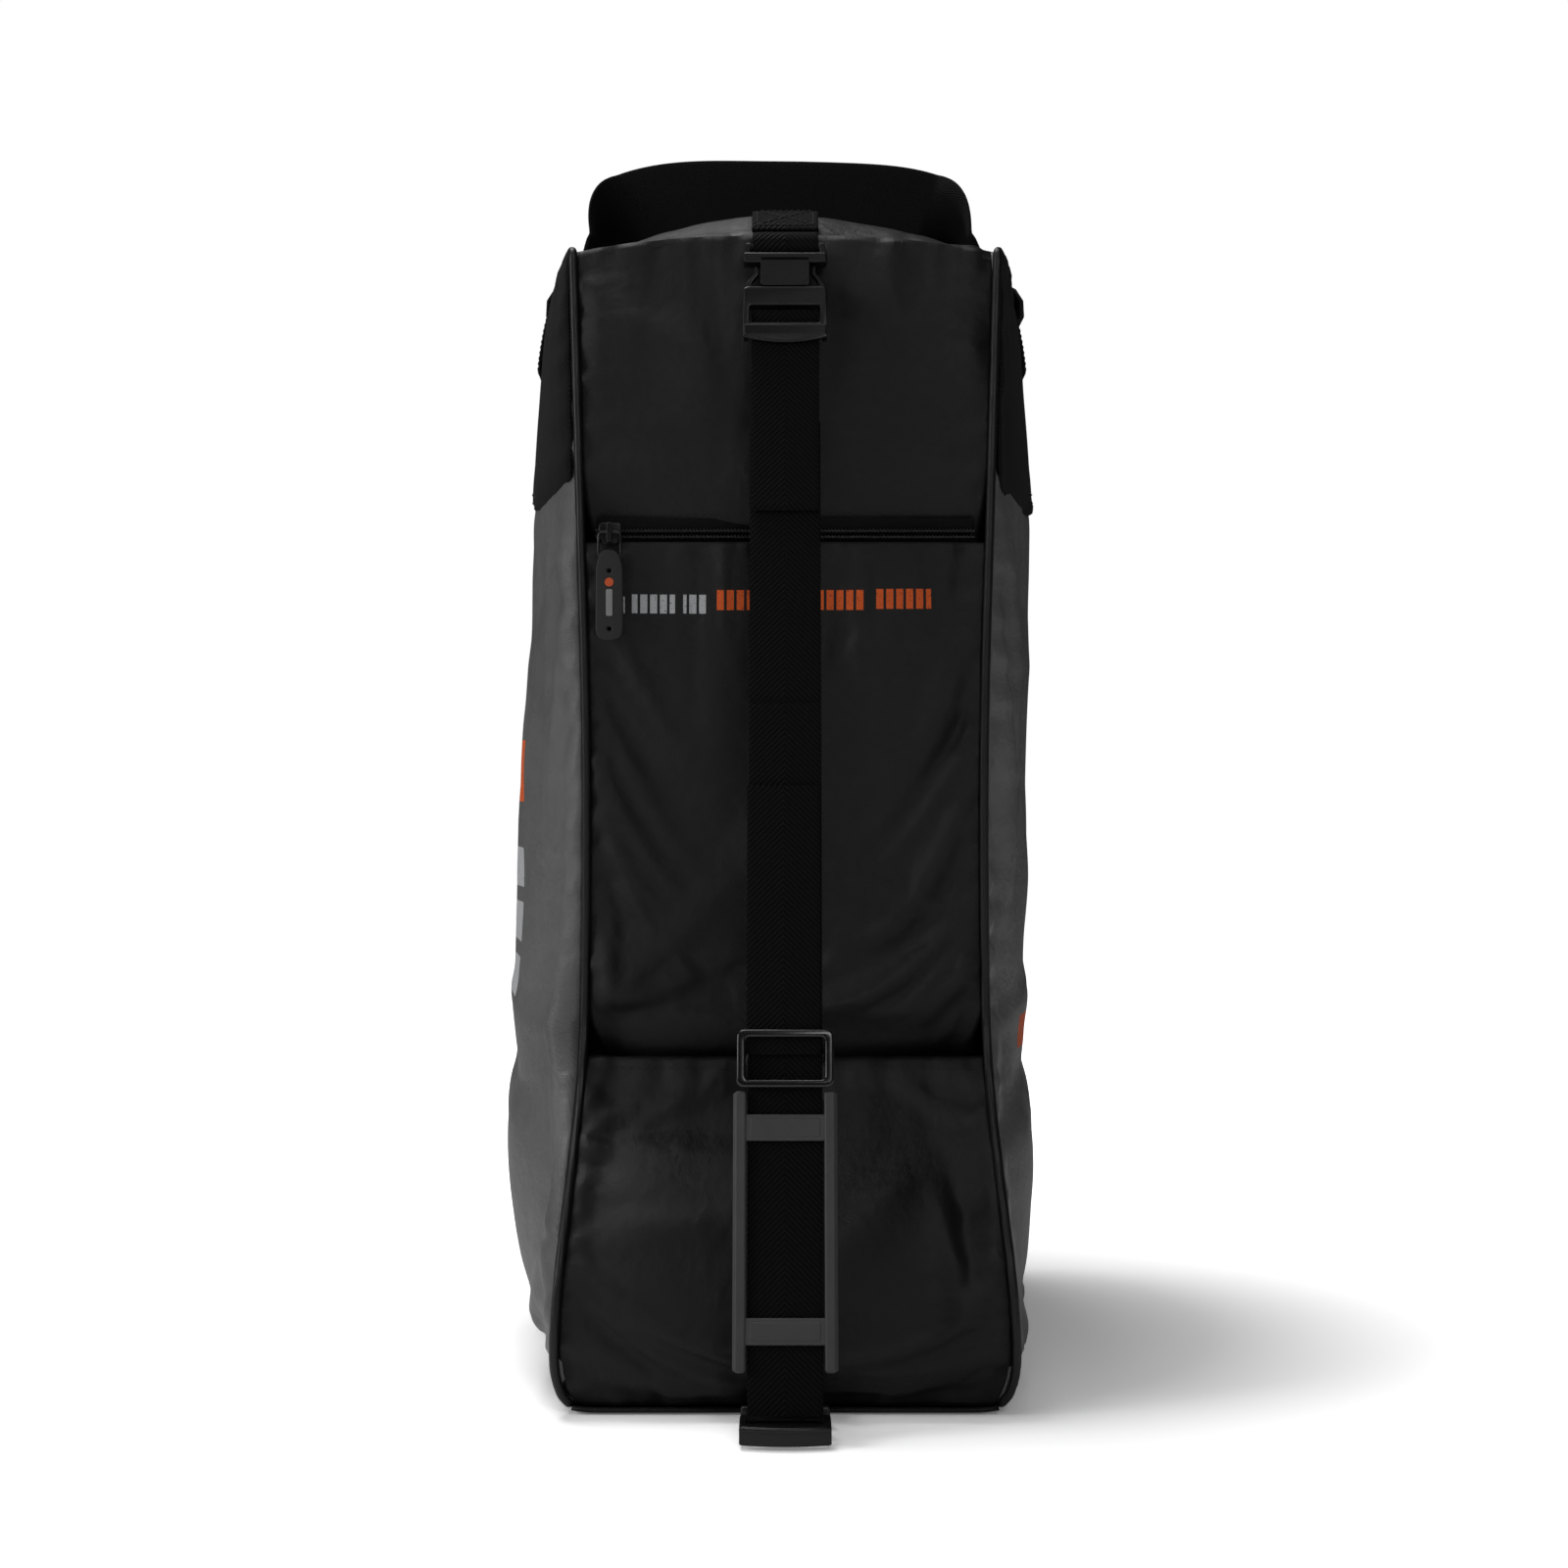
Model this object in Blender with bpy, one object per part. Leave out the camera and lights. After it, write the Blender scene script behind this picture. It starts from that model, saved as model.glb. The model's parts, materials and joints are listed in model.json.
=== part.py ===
"""Skate bag, standing upright: metres, +Z up, origin on the floor under the base's centre.

The narrow face with the shoulder strap is the front and looks along -Y. Every fabric panel is its own
thin solid. Strap, buckles and rear zip are built in tilted local frames held by empties, so that a
moving piece's parent empty, or its own origin, lies on its joint axis.
"""

import math

import bmesh
import bpy
from mathutils import Vector

# Clearances and stock thicknesses
GAP = 0.0004
CLOTH = 0.0025
WEBBING = 0.0015
PIPING_RADIUS = 0.0020
SEAM = 0.0032  # from the piping's centre line to a panel's edge

# Bag body: heights, and outlines as (height, value) knots
BAG_FOOT = 0.0042
BAG_TOP = 0.4915
YOKE_HEM = 0.387
POCKET_ZIP = 0.367
TOE_SEAM = 0.141
DOME = 0.019
REAR_TOP = 0.130
REAR_FOOT = 0.150
REAR_HALF = 0.0905
FRONT_DEPTH = (
    (0.0042, -0.187),
    (0.030, -0.195),
    (0.060, -0.192),
    (0.100, -0.168),
    (0.141, -0.130),
    (0.200, -0.127),
    (0.280, -0.1295),
    (0.367, -0.128),
    (0.4915, -0.119),
)
FRONT_HALF = (
    (0.0042, 0.0885),
    (0.0100, 0.0925),
    (0.0200, 0.0945),
    (0.050, 0.0932),
    (0.100, 0.0890),
    (0.160, 0.0868),
    (0.280, 0.0860),
    (0.387, 0.0890),
    (0.4915, 0.0925),
)
SIDE_BULGE = (
    (0.0042, 0.0925),
    (0.0140, 0.1010),
    (0.030, 0.1090),
    (0.080, 0.1190),
    (0.150, 0.1215),
    (0.250, 0.1210),
    (0.320, 0.1195),
    (0.387, 0.1165),
    (0.450, 0.1125),
    (0.477, 0.1085),
    (0.4915, 0.1040),
)
BULGE_POWER = 0.7
FOOT_CROWDING = 1.5  # how strongly rows of points crowd towards the rounded foot

# Shoulder strap: a straight line from the top seam to the lower buckle's slot
STRAP_WIDTH = 0.030
STRAP_TOP = Vector((0.0, -0.1270, 0.4935))
STRAP_FOOT = Vector((0.0, -0.2372, 0.0105))
LOWER_BUCKLE = Vector((0.0, -0.2020, 0.0040))
TAIL_END = 0.123
MAIN_START = 0.083
GLIDE_START = 0.3432
GLIDE_LENGTH = 0.0236
GLIDE_TAIL_START = 0.2420
PAD_START = 0.3678
PAD_LENGTH = 0.1107

# Pocket zip and main zip
POCKET_SLIDER_X = -0.0756
COIL_RADIUS = 0.0011
MAIN_ZIP_START = 0.0265
MAIN_ZIP_END = 0.4560
FLAP_HINGE_X = 0.0860
LOWER_BAND_END = 0.4835
MAIN_SLIDER_START = 0.037
PULLER_STANDOFF = 0.0050

# Carry handle
HANDLE_X = 0.0992
HANDLE_PIVOT_Z = 0.4990
HANDLE_TOP = 0.5360
HANDLE_WIDTH = 0.040
HANDLE_Y = 0.004
TWIST_START = 0.08  # shares of the band's length at which it turns from flat to upright
TWIST_SPAN = 0.16


def curve_value(knots, t):
    """Smooth value at t through (t, value) knots, flat beyond the ends."""
    if t <= knots[0][0]:
        return knots[0][1]
    if t >= knots[-1][0]:
        return knots[-1][1]
    i = max(n for n in range(len(knots) - 1) if knots[n][0] <= t)
    slopes = []
    for n in (i, i + 1):
        before = knots[max(n - 1, 0)]
        after = knots[min(n + 1, len(knots) - 1)]
        slopes.append((after[1] - before[1]) / (after[0] - before[0]))
    span = knots[i + 1][0] - knots[i][0]
    s = (t - knots[i][0]) / span
    start = (1 + 2 * s) * (1 - s) ** 2
    leave = s * (1 - s) ** 2
    end = s * s * (3 - 2 * s)
    arrive = s * s * (s - 1)
    flat = start * knots[i][1] + end * knots[i + 1][1]
    return flat + span * (leave * slopes[0] + arrive * slopes[1])


def lerp(a, b, t):
    return a + (b - a) * t


def front_depth(z):
    return curve_value(FRONT_DEPTH, z)


def rear_depth(z):
    return lerp(REAR_FOOT, REAR_TOP, z / BAG_TOP)


def side_x(u, z):
    """Half width of the bag at share u of the way from front to rear."""
    edge = lerp(curve_value(FRONT_HALF, z), REAR_HALF, u)
    bulge = curve_value(SIDE_BULGE, z) - edge
    return edge + bulge * math.sin(math.pi * u) ** BULGE_POWER


def share_of_depth(y, z):
    return (y - front_depth(z)) / (rear_depth(z) - front_depth(z))


# ---------------------------------------------------------------- shared builders


def clear_scene():
    for obj in list(bpy.data.objects):
        bpy.data.objects.remove(obj, do_unlink=True)


def look(name, colour, roughness, metallic=0.0):
    material = bpy.data.materials.new(name)
    material.use_nodes = True
    shader = material.node_tree.nodes["Principled BSDF"]
    shader.inputs["Base Color"].default_value = (*colour, 1.0)
    shader.inputs["Roughness"].default_value = roughness
    shader.inputs["Metallic"].default_value = metallic
    return material


def frame(name, location, tilt=0.0, parent=None):
    """An empty whose local axes a group of pieces is built in; tilt is its turn about X."""
    empty = bpy.data.objects.new(name, None)
    empty.location = location
    empty.rotation_euler = (tilt, 0.0, 0.0)
    empty.parent = parent
    bpy.context.scene.collection.objects.link(empty)
    return empty


def add_object(name, data, material, parent=None):
    data.materials.append(material)
    obj = bpy.data.objects.new(name, data)
    obj.parent = parent
    bpy.context.scene.collection.objects.link(obj)
    return obj


def mesh_object(name, bm, material, parent=None):
    mesh = bpy.data.meshes.new(name)
    bm.to_mesh(mesh)
    bm.free()
    mesh.shade_smooth()
    mesh.set_sharp_from_angle(angle=math.radians(40))
    return add_object(name, mesh, material, parent)


def thicken(obj, thickness, offset):
    shell = obj.modifiers.new("thickness", "SOLIDIFY")
    shell.thickness = thickness
    shell.offset = offset
    shell.use_even_offset = True


def grid_mesh(surface, columns, rows, outward):
    bm = bmesh.new()
    grid = [
        [bm.verts.new(surface(i / columns, j / rows)) for i in range(columns + 1)]
        for j in range(rows + 1)
    ]
    for j in range(rows):
        for i in range(columns):
            corners = (grid[j][i], grid[j][i + 1], grid[j + 1][i + 1], grid[j + 1][i])
            bm.faces.new(corners)
    bm.normal_update()
    facing = sum((face.normal for face in bm.faces), Vector())
    if facing.dot(Vector(outward)) < 0:
        bmesh.ops.reverse_faces(bm, faces=bm.faces)
    return bm


def sheet(name, surface, cells, outward, material, thickness=CLOTH, parent=None):
    """A fabric panel: surface(u, v) is its outer face, and its thickness goes inward."""
    bm = grid_mesh(surface, cells[0], cells[1], outward)
    obj = mesh_object(name, bm, material, parent)
    thicken(obj, thickness, -1)
    return obj


def webbing(name, path, width, material, parent=None, thickness=WEBBING, slant=0.0):
    """Flat webbing along a centre line of (y, z) points; slant is how far its first end is cut askew."""

    def surface(u, v):
        index = round(v * (len(path) - 1))
        y, z = path[index]
        askew = slant * (0.5 - u) if index == 0 else 0.0
        return (width * (u - 0.5), y, z + askew)

    bm = grid_mesh(surface, 1, len(path) - 1, (0, 0, 0))
    obj = mesh_object(name, bm, material, parent)
    thicken(obj, thickness, 0)
    return obj


def tube(name, points, radius, material, closed=False, parent=None, sides=1):
    curve = bpy.data.curves.new(name, "CURVE")
    curve.dimensions = "3D"
    curve.bevel_depth = radius
    curve.bevel_resolution = sides
    curve.use_fill_caps = not closed
    spline = curve.splines.new("POLY")
    spline.points.add(len(points) - 1)
    for point, place in zip(spline.points, points):
        point.co = (*place, 1.0)
    spline.use_cyclic_u = closed
    spline.use_smooth = True
    return add_object(name, curve, material, parent)


def blocks(name, boxes, material, parent=None, holes=(), bevel=0.0004, warp=None):
    """One solid from merged axis-aligned boxes, each ((x0, x1), (y0, y1), (z0, z1)), less holes."""
    cuts = [sorted({v for box in (*boxes, *holes) for v in box[a]}) for a in range(3)]

    def filled(cell):
        if any(not 0 <= cell[a] < len(cuts[a]) - 1 for a in range(3)):
            return False
        middle = [(cuts[a][cell[a]] + cuts[a][cell[a] + 1]) / 2 for a in range(3)]

        def holds(box):
            return all(box[a][0] < middle[a] < box[a][1] for a in range(3))

        return any(map(holds, boxes)) and not any(map(holds, holes))

    bm = bmesh.new()
    made = {}

    def corner(index):
        if index not in made:
            made[index] = bm.verts.new([cuts[a][index[a]] for a in range(3)])
        return made[index]

    counts = [len(c) - 1 for c in cuts]
    cells = [
        (i, j, k)
        for i in range(counts[0])
        for j in range(counts[1])
        for k in range(counts[2])
    ]
    for cell in filter(filled, cells):
        for axis in range(3):
            for step in (0, 1):
                beside = list(cell)
                beside[axis] += 2 * step - 1
                if filled(beside):
                    continue
                b, c = (axis + 1) % 3, (axis + 2) % 3
                ring = []
                for db, dc in ((0, 0), (1, 0), (1, 1), (0, 1)):
                    index = list(cell)
                    index[axis] += step
                    index[b] += db
                    index[c] += dc
                    ring.append(corner(tuple(index)))
                bm.faces.new(ring if step else ring[::-1])
    if warp:
        for vert in bm.verts:
            vert.co = warp(*vert.co)
    obj = mesh_object(name, bm, material, parent)
    if bevel:
        edge = obj.modifiers.new("edges", "BEVEL")
        edge.width = bevel
        edge.segments = 1
        edge.limit_method = "ANGLE"
        edge.angle_limit = math.radians(40)
    return obj


def mirrored(box):
    return ((-box[0][1], -box[0][0]), box[1], box[2])


def mm(*box):
    """A box given in millimetres as x0, x1, depth0, depth1, down0, down1 in a hanging frame."""
    x0, x1, y0, y1, d0, d1 = (v / 1000 for v in box)
    return ((x0, x1), (y0, y1), (-d1, -d0))


# ---------------------------------------------------------------- bag body


def base(nylon, board):
    front = front_depth(BAG_FOOT) + 0.001
    rear = REAR_FOOT - SEAM

    def outline(inset):
        def surface(u, v):
            y = lerp(front + inset, rear - inset, v)
            edge = side_x(share_of_depth(y, BAG_FOOT), BAG_FOOT) - SEAM - inset
            return Vector((lerp(-edge, edge, u), y, 0.0))

        return surface

    plate = outline(0.0)
    sheet("base_panel", plate, (2, 14), (0, 0, -1), nylon, thickness=0.003)
    raised = outline(0.006)
    lift = Vector((0.0, 0.0, 0.003 + GAP))
    sheet(
        "base_board",
        lambda u, v: raised(u, v) + lift,
        (2, 14),
        (0, 0, -1),
        board,
        thickness=0.002,
    )


def side_panels(coated, coarse):
    low, high = BAG_FOOT + SEAM, BAG_TOP - SEAM
    for side, name in ((-1, "left"), (1, "right")):

        def place(u, z, proud):
            y = lerp(front_depth(z) + SEAM, rear_depth(z) - SEAM, u)
            return (side * (side_x(share_of_depth(y, z), z) + proud), y, z)

        def panel(u, v):
            return place(u, lerp(low, high, v**FOOT_CROWDING), 0.0)

        def yoke(u, v):
            return place(u, lerp(YOKE_HEM, high, v), GAP + 0.0022)

        outward = (side, 0, 0)
        sheet(f"side_panel_{name}", panel, (12, 18), outward, coated)
        sheet(f"side_yoke_{name}", yoke, (12, 5), outward, coarse, thickness=0.0018)


def front_panels(nylon):
    """Four heights split the front: toe seam, pocket zip and the two ends."""
    split = 0.0035
    spans = (
        ("front_lower_panel", BAG_FOOT + 0.001, TOE_SEAM - GAP, 10, 0.006, FOOT_CROWDING),
        ("front_pocket_panel", TOE_SEAM + GAP, POCKET_ZIP - split, 8, 0.003, 1),
        ("front_upper_panel", POCKET_ZIP + split, BAG_TOP - SEAM, 5, 0.003, 1),
    )
    for name, low, high, rows, crown, crowding in spans:

        def surface(u, v, low=low, high=high, crown=crown, crowding=crowding):
            z = lerp(low, high, v**crowding)
            half = curve_value(FRONT_HALF, z) - SEAM
            swell = crown * math.sin(math.pi * u) * math.sin(math.pi * v)
            return (lerp(-half, half, u), front_depth(z) - swell, z)

        sheet(name, surface, (10, rows), (0, -1, 0), nylon)


def top_panel(nylon):
    low, high = front_depth(BAG_TOP) + SEAM, rear_depth(BAG_TOP) - SEAM

    def surface(u, v):
        y = lerp(low, high, v)
        half = side_x(share_of_depth(y, BAG_TOP), BAG_TOP) - SEAM
        across = 1 - abs(2 * u - 1) ** 3
        crown = DOME * across * math.sin(math.pi * v) ** 0.5
        return (lerp(-half, half, u), y, BAG_TOP - 0.001 + crown)

    sheet("top_panel", surface, (10, 14), (0, 0, 1), nylon)


def rounded_loop(points, corners, radius):
    """The closed polyline with each point of corners replaced by a small arc."""
    loop = []
    for i, point in enumerate(points):
        if i not in corners:
            loop.append(point)
            continue
        before = (points[i - 1] - point).normalized() * radius
        after = (points[(i + 1) % len(points)] - point).normalized() * radius
        for t in (0.0, 0.25, 0.5, 0.75, 1.0):
            loop.append(point + before * (1 - t) ** 2 + after * t**2)
    return loop


def piping(cord):
    steps, rear_steps = 22, 4
    crowded = [(1 - i / steps) ** FOOT_CROWDING for i in range(steps + 1)]
    heights = [lerp(BAG_FOOT, BAG_TOP, share) for share in crowded]
    rear_heights = [lerp(BAG_FOOT, BAG_TOP, i / rear_steps) for i in range(rear_steps + 1)]
    shares = [i / 8 for i in range(1, 8)]
    for side, name in ((-1, "left"), (1, "right")):
        front = [Vector((side * side_x(0, z), front_depth(z), z)) for z in heights]
        rear = [Vector((side * side_x(1, z), rear_depth(z), z)) for z in rear_heights]
        edges = []
        for z, order in ((BAG_FOOT, shares), (BAG_TOP, shares[::-1])):
            edges.append(
                [
                    Vector((side * side_x(u, z), lerp(front_depth(z), rear_depth(z), u), z))
                    for u in order
                ]
            )
        points = front + edges[0] + rear + edges[1]
        rear_at = len(front) + len(edges[0])
        corners = (0, len(front) - 1, rear_at, rear_at + rear_steps)
        loop = rounded_loop(points, corners, 0.004)
        tube(f"piping_{name}", loop, PIPING_RADIUS, cord, closed=True)


# ---------------------------------------------------------------- pocket zip


def pocket_zip(nylon, lining, moulded, wire, rubber):
    face = front_depth(POCKET_ZIP)
    half = 0.082
    behind = face + CLOTH + 2 * GAP
    for side, name in ((1, "upper"), (-1, "lower")):
        near, far = sorted((side * 0.0004, side * 0.0070))
        blocks(
            f"pocket_zip_tape_{name}",
            [((-half, half), (behind, behind + 0.0006), (near, far))],
            nylon,
            frame(f"pocket_tape_{name}_place", (0, 0, POCKET_ZIP)),
            bevel=0.0,
        )
        z = POCKET_ZIP + side * (COIL_RADIUS + 0.0002)
        y = behind - GAP - COIL_RADIUS
        tube(
            f"pocket_zip_coil_{name}",
            [(-half, y, z), (half, y, z)],
            COIL_RADIUS,
            moulded,
        )

    def pouch(u, v):
        z = lerp(0.200, POCKET_ZIP - 0.012, v)
        depth = front_depth(z) + 0.0065 + 0.006 * math.sin(math.pi * v)
        edge = 0.076
        return (lerp(-edge, edge, u), depth, z)

    sheet("pocket_lining", pouch, (4, 8), (0, -1, 0), lining, thickness=0.0008)
    runner = frame("pocket_slider_place", (POCKET_SLIDER_X, face, POCKET_ZIP))
    zip_slider("pocket_zip_slider", -1, wire, runner)
    pull = frame("pocket_puller_axis", (0, -PULLER_STANDOFF, 0), parent=runner)
    zip_puller("pocket_puller", wire, rubber, pull)


def zip_slider(name, out, wire, parent):
    """A slider plate over the coils with a small bridge; out is the side of Y it faces."""

    def band(y0, y1):
        return tuple(sorted((out * y0, out * y1)))

    plate = ((-0.0050, 0.0050), band(0.0004, 0.0018), (-0.0045, 0.0045))
    legs = [
        ((-0.0012, 0.0012), band(0.0018, 0.0066), (z, z + 0.0014)) for z in (-0.0042, 0.0028)
    ]
    bridge = ((-0.0012, 0.0012), band(0.0066, 0.0078), (-0.0042, 0.0042))
    blocks(name, [plate, *legs, bridge], wire, parent, bevel=0.0002)


def zip_puller(name, wire, rubber, parent):
    """Wire loop through the slider's bridge, and the rubber grip that hangs on its lower bar."""
    side, drop = 0.0052, -0.0100
    loop = [(-side, 0, 0), (side, 0, 0), (side, 0, drop), (-side, 0, drop)]
    tube(f"{name}_loop", loop, 0.0007, wire, closed=True, parent=parent)
    eye_half, shoulder, end = 0.0040, -0.0135, -0.0465

    def taper(x, y, z):
        round_end = max(0.0, (z + 0.0415) / (end + 0.0415))
        return (x * (1 - 0.45 * round_end**2), y, z)

    eye = ((-eye_half, eye_half), (-0.0020, 0.0020), (shoulder, -0.0070))
    hole = ((-eye_half, eye_half), (-0.0012, 0.0012), (drop - 0.0012, drop + 0.0012))
    heights = (end, -0.0450, -0.0435, -0.0415, -0.0280, shoulder)
    slabs = [
        ((-0.0060, 0.0060), (-0.0015, 0.0015), (low, high))
        for low, high in zip(heights, heights[1:])
    ]
    blocks(f"{name}_grip", [*slabs, eye], rubber, parent, holes=[hole], warp=taper)


# ---------------------------------------------------------------- side-release buckle


def buckle_socket(name, moulded, parent):
    """Webbing frame, full-width shoulder block, and a narrower neck of two plates."""
    arm = mm(15.3, 18.0, -3.5, 2.5, 2.2, 7.4)
    bar = mm(-15.3, 15.3, -1.6, 0.8, 2.2, 4.6)
    block = mm(-18.0, 18.0, -5.2, 2.5, 7.4, 11.0)
    outer_plate = mm(-10.4, 10.4, -5.2, -3.8, 11.0, 21.5)
    inner_plate = mm(-10.4, 10.4, 1.1, 2.5, 11.0, 21.5)
    solid = [arm, mirrored(arm), bar, block, outer_plate, inner_plate]
    blocks(name, solid, moulded, parent)


def buckle_plug(name, moulded, parent):
    """Body with a centre guide, and a ladder frame whose bottom bar stands in front of the webbing."""
    body = mm(-18.0, 18.0, -4.9, 2.5, 22.6, 30.2)
    guide = mm(-2.6, 2.6, -1.6, 0.7, 13.8, 22.6)
    rail = mm(15.6, 18.0, -4.9, 2.0, 30.2, 47.0)
    bar = mm(-15.6, 15.6, -4.9, -3.3, 39.2, 47.0)

    def bow(x, y, z):
        """The end of the ladder is bowed, lowest at the middle."""
        end = max(0.0, (-z - 0.0392) / 0.0078)
        return (x, y, z + 0.0020 * end * (x / 0.018) ** 2)

    columns = [mm(x, x + 5.2, -4.9, -3.3, 39.2, 47.0) for x in (-13.0, -7.8, -2.6, 2.6, 7.8)]
    blocks(name, [body, guide, rail, mirrored(rail), bar, *columns], moulded, parent, warp=bow)


def buckle_latches(prefix, moulded, parent):
    """Two spring arms beside the neck, each with its origin on its root's turning axis."""
    root_x, root_down = 0.0145, 0.0218
    for side, name in ((-1, "left"), (1, "right")):
        root = frame(f"{prefix}_{name}_axis", (side * root_x, 0, -root_down), parent=parent)
        arm = ((-0.0028, 0.0028), (-0.0028, 0.0006), (-0.0005, 0.0045))
        head = ((-0.0028, 0.0028), (-0.0028, 0.0006), (0.0045, 0.0094))

        def hook(x, y, z):
            """The arm leans in from its root and its head slants out to a shoulder."""
            lean = 0.0008 * max(0.0, z) / 0.0094
            flare = 0.0010 if z > 0.009 and x > 0 else 0.0
            return (side * (x - lean + flare), y, z)

        obj = blocks(f"{prefix}_{name}", [arm, head], moulded, root, warp=hook)
        if side < 0:
            obj.data.flip_normals()


# ---------------------------------------------------------------- shoulder strap


def strap_axes():
    """The strap's frame hangs from its top seam; the lower buckle's frame lies on the floor."""
    run = STRAP_FOOT - STRAP_TOP
    tilt = math.atan2(run.y, -run.z)
    hanging = frame("strap_axis", STRAP_TOP, tilt)
    lying = frame("lower_buckle_axis", LOWER_BUCKLE, math.radians(-90))
    return hanging, lying, run.length


def looped_tab(name, start, width, material, parent):
    """Webbing that leaves a seam, goes round a buckle's bar and comes back under itself."""
    middle, reach, back = -0.0037, 0.0024, -0.0004
    turn = [math.radians(a) for a in range(0, 181, 30)]
    path = [(back - reach, start)]
    path += [(back - reach * math.cos(a), middle - reach * math.sin(a)) for a in turn]
    path.append((back + reach, start))
    webbing(name, path, width, material, parent, thickness=0.0013)


def shoulder_strap(fabric, moulded, grey, hanging, lying, length):
    looped_tab("upper_strap_tab", -0.0004, 0.0285, fabric, hanging)
    buckle_socket("upper_buckle_socket", moulded, hanging)
    clip = frame("upper_plug_place", (0, 0, 0), parent=hanging)
    buckle_plug("upper_buckle_plug", moulded, clip)
    buckle_latches("upper_latch", moulded, clip)
    tail = [(-0.0036, -0.0335), (-0.0031, -0.0360), (-0.0023, -0.0385), (-0.0020, -0.0410)]
    tail += [(-0.0020, -0.0600), (-0.0020, -0.0900), (-0.0020, -TAIL_END)]
    webbing("strap_tail", tail, 0.0290, fabric, clip, thickness=0.0014)

    foot_gap = 0.0005
    run = [(0.0, -lerp(MAIN_START, length - foot_gap, i / 6)) for i in range(7)]
    webbing("strap_webbing", run, STRAP_WIDTH, fabric, hanging)
    buckle_plug("lower_buckle_plug", moulded, lying)
    buckle_latches("lower_latch", moulded, lying)
    buckle_socket("lower_buckle_socket", moulded, lying)
    looped_tab("lower_strap_tab", 0.0120, 0.0285, fabric, lying)
    tri_glide(fabric, moulded, hanging)
    shoulder_pad(grey, hanging)


def tri_glide(fabric, moulded, parent):
    """Rectangular adjuster, two bars in front of the webbing and one behind it, and its doubled tail."""
    place = frame("tri_glide_place", (0, 0, -GLIDE_START), parent=parent)
    drop = GLIDE_LENGTH * 1000
    rail = mm(16.0, 19.6, -5.4, 2.6, 0.0, drop)
    top = mm(-16.0, 16.0, -5.4, -2.9, 0.0, 3.6)
    bottom = mm(-16.0, 16.0, -5.4, -2.9, drop - 3.6, drop)
    middle = mm(-16.0, 16.0, 1.2, 2.6, 9.5, 14.0)
    solid = [rail, mirrored(rail), top, bottom, middle]
    blocks("tri_glide", solid, moulded, place, bevel=0.0008)
    tail = [(0.0, GLIDE_START - GLIDE_TAIL_START), (0.0, 0.060), (0.0, 0.020), (0.0, -0.010)]
    layer = frame("glide_tail_place", (-0.0006, -0.0018, 0), parent=place)
    webbing("glide_tail", tail, STRAP_WIDTH, fabric, layer, thickness=0.0013, slant=0.0045)


def shoulder_pad(grey, parent):
    """Moulded pad: a back plate, two edge rails, and two cross bars that the webbing passes under."""
    place = frame("shoulder_pad_place", (0, 0, -PAD_START), parent=parent)
    drop = PAD_LENGTH * 1000
    back = mm(-15.6, 15.6, 1.2, 4.2, 3.0, drop - 3.0)
    rail = mm(15.6, 20.2, -3.4, 4.2, 0.0, drop)
    bars = [mm(-15.6, 15.6, -2.8, -1.3, start, start + 10.6) for start in (9.4, drop - 21.2)]
    blocks("shoulder_pad", [back, rail, mirrored(rail), *bars], grey, place, bevel=0.0007)


def strap_anchor(fabric):
    """Sewn end of the upper tab, lying on the top panel behind its front seam."""
    front = front_depth(BAG_TOP) + 0.0035

    def surface(u, v):
        y = lerp(front, front + 0.016, v)
        low = front_depth(BAG_TOP) + SEAM
        span = rear_depth(BAG_TOP) - SEAM - low
        share = max(0.0, (y - low) / span)
        lift = DOME * math.sin(math.pi * share) ** 0.5
        return (lerp(-0.0145, 0.0145, u), y, BAG_TOP - 0.001 + lift + GAP + 0.0014)

    sheet("strap_tab_anchor", surface, (2, 6), (0, 0, 1), fabric, thickness=0.0012)


# ---------------------------------------------------------------- rear opening


def rear_frame():
    """Hangs at the rear's top edge and leans with the rear face; local +Y points out of the bag."""
    slope = (REAR_FOOT - REAR_TOP) / BAG_TOP
    place = (0, REAR_TOP, BAG_TOP)
    return frame("rear_face", place, math.atan(slope))


def flat_panel(name, x0, x1, down0, down1, material, parent, outer=0.0, thickness=CLOTH):
    def surface(u, v):
        return (lerp(x0, x1, u), outer, -lerp(down0, down1, v))

    sheet(name, surface, (3, 8), (0, 1, 0), material, thickness, parent)


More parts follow.
